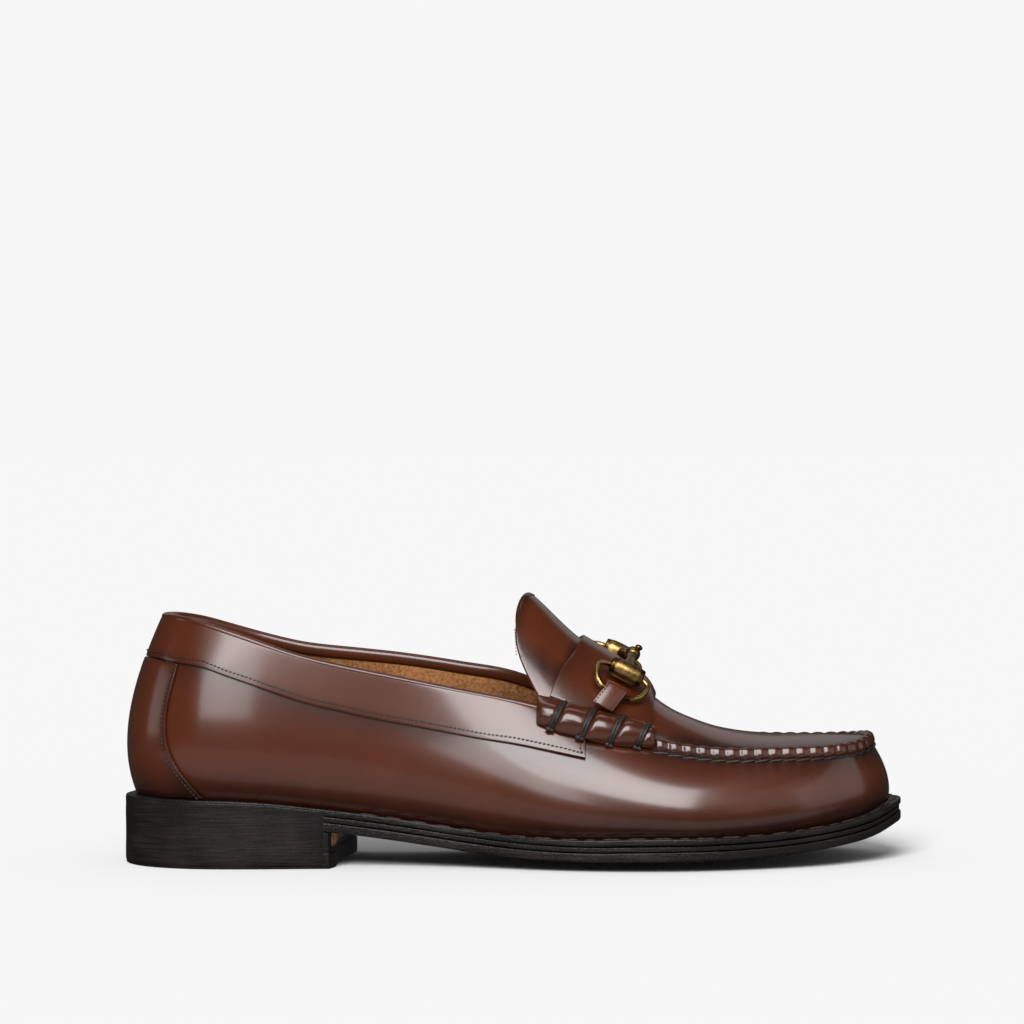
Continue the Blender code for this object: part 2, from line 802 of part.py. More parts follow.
BIT_PLACES = {
    # side: along and height share of the barrel, then of the ring's outer bar
    -1: (0.636, 1.440, 0.622, 1.240),
    1: (0.628, 1.565, 0.614, 1.285),
}
LINK_AT = (0.641, 1.910)


def on_saddle(along, v, side, lift):
    """A point above the saddle's outer face."""
    return skin(turn_at(along, side), v, saddle_lift(along, v) + SADDLE_THICK + lift)


def bit_frame(side):
    """Middle of the barrel, the direction of its axis, and the directions across and off the ring."""
    along, v, far_along, far_v = BIT_PLACES[side]
    barrel_lift = 4 * FIT_GAP + BARREL_RADIUS
    bar_lift = TAB_CLEAR + TAB_THICK + RING_WIRE + TAB_SLACK
    centre = on_saddle(along, v, side, barrel_lift)
    axis = on_saddle(along + 0.016, v, side, barrel_lift) - on_saddle(along - 0.016, v, side, barrel_lift)
    axis.normalize()
    across = on_saddle(far_along, far_v, side, bar_lift) - centre
    across -= across.dot(axis) * axis
    across.normalize()
    off = axis.cross(across) * -side
    return centre, axis, across, off


def wire(name, points, radius, closed, sides=1):
    """A round wire through the points, as a mesh."""
    curve = bpy.data.curves.new(name, "CURVE")
    curve.dimensions = "3D"
    curve.bevel_depth = radius
    curve.bevel_resolution = sides
    curve.use_fill_caps = not closed
    spline = curve.splines.new("POLY")
    spline.points.add(len(points) - 1)
    for knot, point in zip(spline.points, points):
        knot.co = (*point, 1.0)
    spline.use_cyclic_u = closed
    holder = bpy.data.objects.new(name, curve)
    SHOE.objects.link(holder)
    mesh = bpy.data.meshes.new_from_object(holder.evaluated_get(bpy.context.evaluated_depsgraph_get()))
    bpy.data.objects.remove(holder)
    shape = bmesh.new()
    shape.from_mesh(mesh)
    bpy.data.meshes.remove(mesh)
    weld(shape)
    face_outwards(shape)
    return mesh_from(shape, name)


def make_ring(name, side):
    """A D-shaped ring: its straight bar runs through the barrel."""
    centre, axis, across, off = bit_frame(side)
    half, corner = RING_LENGTH / 2, RING_CORNER
    flat = []
    for i in range(5):
        angle = -pi / 2 + pi / 2 * i / 4
        flat.append((half - corner + corner * cos(angle), corner + corner * sin(angle)))
    for i in range(1, 16):
        angle = pi * i / 16
        squared = abs(cos(angle)) ** RING_SQUARE * (1 if angle < pi / 2 else -1)
        flat.append((half * squared, corner + (RING_REACH - corner) * sin(angle) ** RING_SQUARE))
    for i in range(5):
        angle = pi + pi / 2 * i / 4
        flat.append((corner - half + corner * cos(angle), corner + corner * sin(angle)))
    points = [centre + a * axis + b * across for a, b in flat]
    return add_piece(name, wire(name, points, RING_WIRE, True), ANTIQUE_BRASS)


def turned(profile, bore, sides=12):
    """A turned sleeve about Z: the outer profile as height and radius, and a plain bore."""
    shape = bmesh.new()
    loops = [(height, radius) for height, radius in profile]
    loops += [(profile[-1][0], bore), (profile[0][0], bore)]
    rings = []
    for height, radius in loops:
        rings.append([shape.verts.new((radius * cos(2 * pi * i / sides), radius * sin(2 * pi * i / sides),
                                       height)) for i in range(sides)])
    for near, far in zip(rings, rings[1:] + rings[:1]):
        for i in range(sides):
            j = (i + 1) % sides
            shape.faces.new((near[i], near[j], far[j], far[i]))
    face_outwards(shape)
    return shape


BARREL_PROFILE = [(-0.50, 0.62), (-0.46, 0.80), (-0.30, 0.95), (0.0, 1.0), (0.30, 0.95), (0.46, 0.80), (0.50, 0.62)]


def make_barrel(name, side):
    """The sleeve on the ring's bar, in one with the arm that reaches to the middle link."""
    centre, axis, across, off = bit_frame(side)
    profile = [(h * BARREL_LENGTH, r * BARREL_RADIUS) for h, r in BARREL_PROFILE]
    shape = turned(profile, RING_WIRE + FIT_GAP)
    turn = Matrix((across, off, axis)).transposed().to_4x4()
    bmesh.ops.transform(shape, matrix=Matrix.Translation(centre) @ turn, verts=shape.verts)
    face_outwards(shape)
    barrel = add_piece(name, mesh_from(shape, name), ANTIQUE_BRASS)
    link = link_point()
    start = centre - across * (RING_WIRE + 0.0016) + 0.0006 * off
    towards = (link - start).normalized()
    end = link - towards * (LINK_RADIUS + FIT_GAP)
    bow = 0.0014 * off
    points = [start.lerp(end, i / 6) + bow * sin(pi * i / 6) for i in range(7)]
    arm = bpy.data.objects.new(name + "_arm", wire(name + "_arm", points, ARM_RADIUS, False))
    CUTTERS.objects.link(arm)
    arm.hide_render = True
    arm.display_type = "WIRE"
    union = barrel.modifiers.new("arm", "BOOLEAN")
    union.operation = "UNION"
    union.object = arm
    return barrel


def link_point():
    return on_saddle(LINK_AT[0], LINK_AT[1], -1, LINK_RADIUS + FIT_GAP)


def make_link():
    """The knuckle between the two arms."""
    shape = bmesh.new()
    bmesh.ops.create_uvsphere(shape, u_segments=12, v_segments=8, radius=LINK_RADIUS)
    bmesh.ops.transform(shape, matrix=Matrix.Translation(link_point()), verts=shape.verts)
    return add_piece("bit_link", mesh_from(shape, "bit_link"), ANTIQUE_BRASS)


def tab_outline(angle, outside):
    """The tab seen from its side: a round eye that runs out into two layers laid together."""
    away = angle if angle <= pi else angle - 2 * pi
    leave = pi / 3
    if abs(away) > leave - 0.01:
        return outside * cos(away), outside * sin(away)
    way = 0 if abs(away) < 0.01 else 1 if away > 0 else -1
    run = min(1.0, 1.5 * (1 - abs(away) / leave))
    near_x, near_y = outside * cos(leave), way * outside * sin(leave)
    far_x, far_y = TAB_LENGTH, way * TAB_THICK / 2 - TAB_DROP
    return near_x + (far_x - near_x) * run, near_y + (far_y - near_y) * run


def make_tab(name, side):
    """The leather tab folded round the ring's outer bar and held under the roll."""
    centre, axis, across, off = bit_frame(side)
    bar = centre + (RING_REACH - TAB_SLACK / 2) * across
    eye = RING_WIRE + FIT_GAP + TAB_SLACK
    outside = eye + TAB_THICK
    loops = []
    for shift in (-TAB_WIDTH / 2, TAB_WIDTH / 2):
        outer, inner = [], []
        for i in range(18):
            angle = 2 * pi * i / 18
            inner.append((eye * cos(angle), eye * sin(angle)))
            outer.append(tab_outline(angle, outside))
        for flat in (outer, inner):
            loops.append([bar + (shift + TAB_SHIFT) * axis + a * across + b * off for a, b in flat])
    shape = bmesh.new()
    rings = [[shape.verts.new(point) for point in loop] for loop in (loops[0], loops[1], loops[3], loops[2])]
    for near, far in zip(rings, rings[1:] + rings[:1]):
        for i in range(len(near)):
            j = (i + 1) % len(near)
            shape.faces.new((near[i], near[j], far[j], far[i]))
    face_outwards(shape)
    return add_piece(name, mesh_from(shape, name), BROWN_LEATHER)


# Start of the model

OUTLINE_CURVE = outline_curve()
RIM_CURVE = rim_curve()

clear_scene()
SHOE = new_collection("bit_loafer")
CUTTERS = new_collection("joining_forms")
make_outsole()
make_midsole()
make_welt()
make_heel()
make_insole()
make_upper()
make_tongue()
make_collar_band()
make_counter()
make_saddle()
make_roll("beefroll_lateral", -1)
make_roll("beefroll_medial", 1)
make_seam()
for hand, way in (("lateral", -1), ("medial", 1)):
    make_ring("bit_ring_" + hand, way)
    make_barrel("bit_barrel_" + hand, way)
    make_tab("bit_tab_" + hand, way)
make_link()
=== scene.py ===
# Bit loafer, right shoe, dressed piece by piece in the order in which such a shoe is put together.
from math import cos, exp, pi, radians, sin

import bmesh
import bpy
import numpy as np
from mathutils import Matrix, Vector
from mathutils.bvhtree import BVHTree
from mathutils.kdtree import KDTree


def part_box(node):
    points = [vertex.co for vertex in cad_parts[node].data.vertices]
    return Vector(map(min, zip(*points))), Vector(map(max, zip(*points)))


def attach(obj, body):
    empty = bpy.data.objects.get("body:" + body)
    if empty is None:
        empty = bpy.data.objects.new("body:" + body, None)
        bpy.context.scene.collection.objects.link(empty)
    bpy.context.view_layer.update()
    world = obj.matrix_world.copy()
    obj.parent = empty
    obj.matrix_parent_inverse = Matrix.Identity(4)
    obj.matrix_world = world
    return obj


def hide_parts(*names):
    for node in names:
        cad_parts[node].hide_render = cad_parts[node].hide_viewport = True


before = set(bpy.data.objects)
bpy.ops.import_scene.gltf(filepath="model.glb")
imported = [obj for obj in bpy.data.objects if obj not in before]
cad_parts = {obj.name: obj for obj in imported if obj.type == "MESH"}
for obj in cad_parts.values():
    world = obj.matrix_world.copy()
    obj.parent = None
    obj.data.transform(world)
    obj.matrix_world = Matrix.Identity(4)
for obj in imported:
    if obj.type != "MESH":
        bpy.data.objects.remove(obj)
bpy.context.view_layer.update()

# Studio
# A level view of the lateral side through a long lens, on a pale floor. A large soft panel hangs
# high in front, with a lower one beside it; weaker ones stand behind and at the ends, and the
# floor shines up from below.
CAMERA_PLACE = (0.0000, -1.498, 0.168)
CAMERA_DOWN = radians(1.27)
CAMERA_ROLL = radians(0.3)
CAMERA_LENS = 135.84
PANELS = [
    # name, place, aimed at, width, height, strength
    ("key_panel", (-0.08, -1.06, 1.04), (0.02, 0.0, 0.04), 1.18, 0.85, 23.0),
    ("waist_panel", (-0.42, -1.00, 0.42), (-0.03, 0.0, 0.04), 0.44, 0.34, 1.7),
    ("toe_panel", (0.85, -0.85, 0.62), (0.08, 0.0, 0.04), 0.60, 0.70, 0.5),
    ("top_panel", (0.0, 0.30, 1.30), (0.0, 0.0, 0.05), 1.00, 0.25, 1.2),
    ("back_panel", (0.05, 1.20, 0.55), (0.0, 0.0, 0.05), 1.60, 0.55, 0.7),
    ("left_panel", (-1.15, -0.15, 0.25), (0.0, 0.0, 0.05), 0.35, 0.40, 0.4),
    ("right_panel", (1.15, -0.35, 0.40), (0.1, 0.0, 0.05), 0.90, 0.70, 1.3),
    ("floor_bounce", (0.0, -0.28, 0.002), (0.0, -0.27, 0.2), 1.00, 0.36, 0.40),
]
SUN_STRENGTH = 3.95
SUN_LEAN = (radians(52), radians(-16), 0.0)
SUN_SPREAD = radians(30)
ROOM_SEEN = 0.93
ROOM_MIRRORED = 0.035
ROOM_SPREAD = 0.36
FLOOR_PALE = (0.844, 0.844, 0.844, 1)

scene = bpy.context.scene
scene.view_settings.view_transform = "Standard"

camera_data = bpy.data.cameras.new("camera")
camera_data.lens = CAMERA_LENS
camera_data.sensor_width = 36.0
camera_data.clip_end = 50.0
camera = bpy.data.objects.new("camera", camera_data)
camera.location = CAMERA_PLACE
camera.rotation_euler = (radians(90) - CAMERA_DOWN, CAMERA_ROLL, 0.0)
scene.collection.objects.link(camera)
scene.camera = camera

shoe_lit = bpy.data.collections.new("lit_by_panels")
floor_lit = bpy.data.collections.new("lit_by_overhead")


def add_panel(name, place, aim, width, height, strength):
    """A soft rectangular light that shines on the shoe alone, so that the floor stays even."""
    light = bpy.data.lights.new(name, "AREA")
    light.shape = "RECTANGLE"
    light.size, light.size_y = width, height
    light.energy = strength
    panel = bpy.data.objects.new(name, light)
    panel.location = place
    panel.rotation_euler = (Vector(aim) - Vector(place)).to_track_quat("-Z", "Y").to_euler()
    panel.light_linking.receiver_collection = shoe_lit
    scene.collection.objects.link(panel)


for row in PANELS:
    add_panel(*row)

sun_data = bpy.data.lights.new("overhead", "SUN")
sun_data.energy = SUN_STRENGTH
sun_data.angle = SUN_SPREAD
sun = bpy.data.objects.new("overhead", sun_data)
sun.rotation_euler = SUN_LEAN
sun.light_linking.receiver_collection = floor_lit
scene.collection.objects.link(sun)


def light_world():
    """Pale to the camera, even light on what is dull, and a dim room in the reflections."""
    scene.world = bpy.data.worlds.new("studio")
    scene.world.use_nodes = True
    nodes, links = scene.world.node_tree.nodes, scene.world.node_tree.links
    nodes.clear()
    rays = nodes.new("ShaderNodeLightPath")
    shades = []
    for strength in (ROOM_SPREAD, ROOM_MIRRORED, ROOM_SEEN):
        shade = nodes.new("ShaderNodeBackground")
        shade.inputs["Color"].default_value = (1, 1, 1, 1)
        shade.inputs["Strength"].default_value = strength
        shades.append(shade.outputs[0])
    lit = shades[0]
    for kind, shade in (("Is Glossy Ray", shades[1]), ("Is Camera Ray", shades[2])):
        choice = nodes.new("ShaderNodeMixShader")
        links.new(rays.outputs[kind], choice.inputs["Fac"])
        links.new(lit, choice.inputs[1])
        links.new(shade, choice.inputs[2])
        lit = choice.outputs[0]
    out = nodes.new("ShaderNodeOutputWorld")
    links.new(lit, out.inputs["Surface"])


light_world()


def add_floor():
    shape = bmesh.new()
    bmesh.ops.create_grid(shape, x_segments=2, y_segments=2, size=20.0)
    mesh = bpy.data.meshes.new("floor")
    shape.to_mesh(mesh)
    shape.free()
    floor = bpy.data.objects.new("floor", mesh)
    pale = bpy.data.materials.new("pale_floor")
    pale.use_nodes = True
    shader = pale.node_tree.nodes["Principled BSDF"]
    shader.inputs["Base Color"].default_value = FLOOR_PALE
    shader.inputs["Roughness"].default_value = 0.9
    shader.inputs["Specular IOR Level"].default_value = 0.0
    mesh.materials.append(pale)
    floor.visible_glossy = False
    scene.collection.objects.link(floor)
    floor_lit.objects.link(floor)


add_floor()

# Heel
# Sole-leather lifts glued in a stack, with a hard top lift on the floor. Sides and breast are
# trimmed, dressed in black and polished; high on the breast a patch stays bare tan leather.
BLACK_DRESSING = (0.0065, 0.0050, 0.0045, 1)
WORN_DRESSING = (0.0190, 0.0150, 0.0130, 1)
BARE_LEATHER = (0.42, 0.20, 0.085, 1)
BREAST = -0.055
LAYER_DROP = 0.00028
STACK_SWELL = 0.00028
MIDSOLE_SWELL = 0.00055
LAYER_EDGE = 0.0005


def merged(node):
    """A welded copy of a CAD node's mesh, with its triangles joined to four-sided faces."""
    shape = bmesh.new()
    shape.from_mesh(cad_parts[node].data)
    bmesh.ops.remove_doubles(shape, verts=shape.verts, dist=2e-5)
    bmesh.ops.join_triangles(shape, faces=shape.faces, angle_face_threshold=radians(30),
                             angle_shape_threshold=radians(50))
    return shape


def only(shape, faces):
    """Deletes all of a shape but some faces."""
    keep = set(faces)
    bmesh.ops.delete(shape, geom=[face for face in shape.faces if face not in keep], context="FACES")
    return shape


def rounded(shape, width, segments=2, sharper=38):
    """Rounds the edges of a shape that are sharper than an angle."""
    edges = [edge for edge in shape.edges
             if len(edge.link_faces) == 2 and edge.calc_face_angle() > radians(sharper)]
    bmesh.ops.bevel(shape, geom=edges, offset=width, offset_type="OFFSET", segments=segments, profile=0.5,
                    affect="EDGES", material=-1, clamp_overlap=True)
    return shape


def finished(shape, name, finish, slot, *nodes):
    """Makes a shape a piece that rides on the shoe and stands for the CAD nodes named."""
    mesh = bpy.data.meshes.new(name)
    shape.to_mesh(mesh)
    shape.free()
    piece = bpy.data.objects.new(name, mesh)
    scene.collection.objects.link(piece)
    shoe_lit.objects.link(piece)
    mesh.materials.append(finish)
    mesh.shade_smooth()
    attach(piece, "root")
    if nodes:
        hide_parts(*nodes)
    return piece


def subdivided(piece, levels):
    smooth = piece.modifiers.new("smooth", "SUBSURF")
    smooth.levels = levels
    smooth.render_levels = levels
    return piece


def thickened(piece, depth):
    """Gives a skin its thickness, on its inner side."""
    sheet = piece.modifiers.new("sheet", "SOLIDIFY")
    sheet.thickness = depth
    sheet.offset = -1
    return piece


class Nodes:
    """A node tree that is built step by step."""

    def __init__(self, tree):
        self.tree = tree

    def link(self, start, end):
        self.tree.links.new(start, end)

    def put(self, value, socket):
        """Links a socket to another, or sets it to a constant."""
        if isinstance(value, bpy.types.NodeSocket):
            self.link(value, socket)
        else:
            socket.default_value = value

    def node(self, kind, **settings):
        made = self.tree.nodes.new(kind)
        for key, value in settings.items():
            if key in made.inputs:
                self.put(value, made.inputs[key])
            else:
                setattr(made, key, value)
        return made

    def place(self, stretch=(1, 1, 1)):
        """Object coordinates, stretched."""
        coordinates = self.node("ShaderNodeTexCoord")
        step = self.node("ShaderNodeVectorMath", operation="MULTIPLY")
        self.link(coordinates.outputs["Object"], step.inputs[0])
        self.put(stretch, step.inputs[1])
        return step.outputs[0]

    def noise(self, scale, detail=3.0, stretch=(1, 1, 1), rough=0.5):
        texture = self.node("ShaderNodeTexNoise", Vector=self.place(stretch), Scale=scale, Detail=detail,
                            Roughness=rough)
        return texture.outputs["Fac"]

    def ramp(self, value, stops):
        """Maps a value through colour stops of (place, colour)."""
        ramp = self.node("ShaderNodeValToRGB")
        elements = ramp.color_ramp.elements
        while len(elements) < len(stops):
            elements.new(0.5)
        for element, (at, colour) in zip(elements, stops):
            element.position = at
            element.color = colour
        self.link(value, ramp.inputs["Fac"])
        return ramp.outputs["Color"]

    def mix(self, share, first, second):
        """A colour between two, each a colour or a socket."""
        blend = self.node("ShaderNodeMix", data_type="RGBA")
        for value, index in ((share, 0), (first, 6), (second, 7)):
            self.put(value, blend.inputs[index])
        return blend.outputs[2]

    def maths(self, operation, first, second=0.0):
        step = self.node("ShaderNodeMath", operation=operation)
        self.put(first, step.inputs[0])
        self.put(second, step.inputs[1])
        return step.outputs[0]

    def fit(self, value, to_low, to_high, low=0.3, high=0.7):
        """Maps a span onto another; as a rule it is the span that most noise lies in."""
        spans = {"Value": value, "From Min": low, "From Max": high, "To Min": to_low, "To Max": to_high}
        return self.node("ShaderNodeMapRange", **spans).outputs["Result"]

    def attribute(self, name):
        return self.node("ShaderNodeAttribute", attribute_name=name).outputs["Fac"]

    def relief(self, height, depth, distance=0.001, under=None):
        bump = self.node("ShaderNodeBump", Distance=distance, Strength=depth, Height=height)
        if under:
            self.link(under, bump.inputs["Normal"])
        return bump.outputs["Normal"]


class Effect(Nodes):
    """A group of nodes that several materials share."""

    def __init__(self, name, inputs, outputs):
        super().__init__(bpy.data.node_groups.new(name, "ShaderNodeTree"))
        for way, sockets in (("INPUT", inputs), ("OUTPUT", outputs)):
            for label, kind in sockets:
                self.tree.interface.new_socket(label, in_out=way, socket_type="NodeSocket" + kind)
        self.given = self.node("NodeGroupInput").outputs
        self.result = self.node("NodeGroupOutput").inputs


class Finish(Nodes):
    """A material of one Principled shader."""

    def __init__(self, name, roughness=0.5, metallic=0.0, coat=0.0, coat_roughness=0.1):
        self.material = bpy.data.materials.new(name)
        self.material.use_nodes = True
        super().__init__(self.material.node_tree)
        self.shader = self.tree.nodes["Principled BSDF"].inputs
        self.shader["Roughness"].default_value = roughness
        self.shader["Metallic"].default_value = metallic
        self.shader["Coat Weight"].default_value = coat
        self.shader["Coat Roughness"].default_value = coat_roughness

    def add(self, effect, **given):
        """Feeds the shader from an effect whose outputs are named like the shader's inputs."""
        group = self.node("ShaderNodeGroup", node_tree=effect.tree)
        for label, value in given.items():
            self.put(value, group.inputs[label])
        for output in group.outputs:
            self.link(output, self.shader[output.name])


def edge_dressing():
    """Black dressing over leather: level lines of the layers, worn patches and coarse glints."""
    effect = Effect("edge_dressing", [("Lines", "Float"), ("Glints", "Float")],
                    [("Base Color", "Color"), ("Roughness", "Float"), ("Normal", "Vector")])
    stretch = effect.node("ShaderNodeCombineXYZ", X=60.0, Y=60.0, Z=effect.given["Lines"])
    lines = effect.noise(1.0, detail=4.0, stretch=stretch.outputs[0])
    specks = effect.noise(1100.0, detail=2.0)
    patches = effect.noise(45.0, detail=2.0)
    worn = effect.maths("MULTIPLY", lines, effect.fit(patches, 0.3, 1.0))
    tone = effect.ramp(worn, [(0.25, BLACK_DRESSING), (0.62, WORN_DRESSING)])
    effect.link(tone, effect.result["Base Color"])
    effect.link(effect.fit(specks, 0.26, 0.50), effect.result["Roughness"])
    first = effect.relief(lines, 0.30, 0.0005)
    effect.link(effect.relief(specks, effect.given["Glints"], 0.0003, under=first), effect.result["Normal"])
    return effect


EDGE_DRESSING = edge_dressing()


def black_edge(name, lines, glints):
    finish = Finish(name, coat=0.15, coat_roughness=0.2)
    finish.shader["Specular IOR Level"].default_value = 0.28
    finish.add(EDGE_DRESSING, Lines=lines, Glints=glints)
    return finish


HEEL_BLACK = black_edge("heel_black", 1600.0, 0.2).material


def bare_breast():
    """The heel's black edge, with bare leather high on the breast."""
    finish = black_edge("heel_black_and_bare", 1600.0, 0.2)
    black = finish.shader["Base Color"].links[0].from_socket
    along, across, up = finish.node("ShaderNodeSeparateXYZ", Vector=finish.place()).outputs
    high = finish.fit(up, 0.0, 1.0, 0.0080, 0.0095)
    off_middle = finish.maths("ABSOLUTE", finish.maths("SUBTRACT", across, 0.002))
    inner = finish.fit(off_middle, 1.0, 0.0, 0.0295, 0.0315)
    front = finish.fit(along, 0.0, 1.0, -0.0780, -0.0765)
    bare = finish.maths("MULTIPLY", finish.maths("MULTIPLY", high, inner), front)
    finish.link(finish.mix(bare, black, BARE_LEATHER), finish.shader["Base Color"])
    return finish.material


def close_heel(shape, widen=0.0):
    """Lets a layer down on the next one behind the breast, where the layers are trimmed as one."""
    shape.normal_update()
    for vert in shape.verts:
        behind = min(max((BREAST - vert.co.x) / 0.02, 0.0), 1.0)
        if vert.normal.z < -0.1:
            vert.co.z -= LAYER_DROP * behind
        level = Vector((vert.co.x - max(min(vert.co.x, 0.0), -0.118), vert.co.y - 0.002, 0))
        if abs(vert.co.y - 0.002) > 0.02 or vert.co.x < -0.12:
            vert.co += widen * behind * level.normalized()
    return shape


top_lift = rounded(merged("top_lift"), LAYER_EDGE)
subdivided(finished(top_lift, "heel_top_lift", HEEL_BLACK, "sole_edge", "top_lift"), 2)
stack = rounded(close_heel(merged("heel_stack"), STACK_SWELL), 0.00015)
subdivided(finished(stack, "heel_lifts", bare_breast(), "sole_edge", "heel_stack"), 2)

HEEL_MIDDLE = Vector((-0.109, 0.002, 0.0))
DRESSING_FRONT = -0.0685
SIDE_ROWS = 14
SIDE_STEP = 0.0029
BACK_ROWS = 30
DRESSED_STEPS = 9
DRESSING_THICK = 0.0004


def sweep(sections, closed=True):
    """A skin through sections of equal count, made by extruding the first one onward."""
    shape = bmesh.new()
    ring = [shape.verts.new(point) for point in sections[0]]
    edges = [shape.edges.new((a, b)) for a, b in zip(ring, ring[1:])]
    if closed:
        edges.append(shape.edges.new((ring[-1], ring[0])))
        shape.faces.new(ring)
    for section in sections[1:]:
        made = bmesh.ops.extrude_edge_only(shape, edges=edges)["geom"]
        edges = [item for item in made if isinstance(item, bmesh.types.BMEdge)]
        grown = set(item for item in made if isinstance(item, bmesh.types.BMVert))
        beside = [[edge.other_vert(vert) for edge in vert.link_edges] for vert in ring]
        ring = [next(vert for vert in others if vert in grown) for others in beside]
        for vert, point in zip(ring, section):
            vert.co = point
    if closed:
        shape.faces.new(ring)
    bmesh.ops.recalc_face_normals(shape, faces=shape.faces)
    return shape


def dressing_sections():
    """Upright runs of points on the trimmed sides of the heel, from its front round the back."""
    stacked = bmesh.new()
    for node in ("top_lift", "heel_stack", "outsole", "midsole", "welt"):
        stacked.from_mesh(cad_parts[node].data)
    tree = BVHTree.FromBMesh(stacked)
    stacked.free()
    spots = [Vector((DRESSING_FRONT - SIDE_STEP * k, HEEL_MIDDLE.y, 0)) for k in range(SIDE_ROWS)]
    turns = [pi * k / BACK_ROWS for k in range(BACK_ROWS + 1)]
    aims = [(spot, Vector((0, -1, 0))) for spot in spots]
    aims += [(HEEL_MIDDLE, Vector((-sin(turn), -cos(turn), 0))) for turn in turns]
    aims += [(spot, Vector((0, 1, 0))) for spot in spots[::-1]]
    sections = []
    for middle, way in aims:
        hits = []
        for k in range(140):
            level = Vector((0, 0, 0.0008 + 0.0002 * k))
            hit = tree.ray_cast(middle + 0.08 * way + level, -way, 0.08)[0]
            if hit is not None and (not hits or (hit - hits[0]).xy.length < 0.002):
                hits.append(hit)
        section = [hits[round(k * (len(hits) - 4) / DRESSED_STEPS)] + 0.00018 * way
                   for k in range(DRESSED_STEPS + 1)]
        flush = max((point - middle).dot(way) for point in section)
        sections.append([point + (flush - (point - middle).dot(way)) * 0.6 * way for point in section])
    return sections


# A film of wax and ink that hides the joints of the heel's layers.
dressing = finished(sweep(dressing_sections(), closed=False), "heel_dressing", HEEL_BLACK, "sole_edge")
subdivided(thickened(dressing, DRESSING_THICK), 1)

# Outsole, midsole and welt
# Three layers of sole leather, cemented and sewn. The edge is shaped with irons, so each layer
# has its own rounded bead and a fine groove to the next, and then is dressed in black.
SOLE_BLACK = black_edge("sole_black", 2200.0, 0.9).material

for node, widen, edge in (("outsole", 0.0, LAYER_EDGE), ("midsole", MIDSOLE_SWELL, 0.0003),
                          ("welt", 0.0, LAYER_EDGE)):
    layer = rounded(close_heel(merged(node), widen), edge)
    subdivided(finished(layer, "leather_" + node, SOLE_BLACK, "sole_edge", node), 2)

# Insole
# The footbed inside the shoe: a plain sheet of leather with a matt, slightly used face. It is
# glued down flat and shows only from above.
SUEDE_TAN = (0.420, 0.190, 0.072, 1)
SUEDE_DARK = (0.150, 0.060, 0.020, 1)


def suede(name):
    finish = Finish(name, roughness=0.95)
    nap = finish.noise(950.0, detail=4.0, rough=0.7)
    cloud = finish.noise(60.0, detail=3.0)
    shade = finish.maths("ADD", finish.maths("MULTIPLY", nap, 0.75), finish.maths("MULTIPLY", cloud, 0.25))
    finish.link(finish.ramp(shade, [(0.38, SUEDE_DARK), (0.60, SUEDE_TAN)]), finish.shader["Base Color"])
    finish.link(finish.relief(nap, 0.6, 0.0006), finish.shader["Normal"])
    finish.shader["Specular IOR Level"].default_value = 0.1
    return finish.material


SUEDE = suede("tan_suede")
finished(rounded(merged("insole"), 0.0004), "footbed", SUEDE, "lining", "insole")

# Upper
# Moccasin walls and apron of brushed-off calf, lasted as one skin and glazed to a high shine,
# with a lining of tan suede pasted behind them.
LEATHER_BROWN = (0.083, 0.0165, 0.0040, 1)
# LEATHER_DARK is the colour that both the burnish and the painted shade darken the calf towards.
LEATHER_DARK = (0.012, 0.0023, 0.0008, 1)
SEAM_PITCH = 0.0055
WALL_REACH = 0.004
SKIN_DEPTH = 0.0011
LINING_DEPTH = 0.0007


def looks_out(face):
    """Whether a face looks away from the line that runs through the shoe's middle."""
    centre = face.calc_center_median()
    spine = Vector((min(max(centre.x, -0.115), 0.10), 0.003, 0.02))
    return face.normal.dot(centre - spine) > 0


def backed(face, tree, depth):
    """Whether a sheet's other side lies within a depth behind a face."""
    start = face.calc_center_median() - 1e-5 * face.normal
    return tree.ray_cast(start, -face.normal, depth)[0] is not None


def wall_side(outer):
    """One side of the upper's wall: the skin that looks out of the shoe, or the other one."""
    shape = merged("upper")
    tree = BVHTree.FromBMesh(shape)
    return only(shape, [face for face in shape.faces
                        if looks_out(face) == outer and backed(face, tree, WALL_REACH)])


def calf_tone():
    """Glazed calf: darker where the attribute says, for burnish and for painted shade, clouded, with a faint
    grain and puckers.
    """
    effect = Effect("calf_tone", [("Puckers", "Float")], [("Base Color", "Color"), ("Normal", "Vector")])
    cloud = effect.noise(26.0, detail=3.0)
    mottle = effect.noise(160.0, detail=3.0)
    # The attribute darkens the calf: partly burnish, partly painted shade where other parts shade it.
    shade = effect.maths("ADD", effect.attribute("burnish_and_shade"), effect.fit(cloud, -0.08, 0.12))
    shade = effect.maths("ADD", shade, effect.fit(mottle, -0.04, 0.05))
    effect.link(effect.ramp(shade, [(0.0, LEATHER_BROWN), (1.0, LEATHER_DARK)]), effect.result["Base Color"])
    grain = effect.relief(effect.noise(1500.0, detail=2.0), 0.10, 0.0002)
    turns = effect.maths("MULTIPLY", effect.attribute("pleat_run"), 2 * pi / SEAM_PITCH)
    wave = effect.maths("MULTIPLY", effect.maths("SINE", turns), effect.attribute("pleat_fade"))
    effect.link(effect.relief(wave, effect.given["Puckers"], 0.0006, under=grain), effect.result["Normal"])
    return effect


CALF_TONE = calf_tone()


def leather(name, roughness=0.27, puckers=0.0):
    finish = Finish(name, roughness=roughness, coat=0.7, coat_roughness=0.14)
    finish.add(CALF_TONE, Puckers=puckers)
    return finish.material


LEATHER = leather("glazed_calf")
WALL_LEATHER = leather("glazed_calf_walls", puckers=0.22)


def write_points(piece, name, rule):
    """Writes a value, worked out from its place, at each point of a piece."""
    values = piece.data.attributes.new(name, "FLOAT", "POINT")
    for vert in piece.data.vertices:
        values.data[vert.index].value = rule(vert.co)


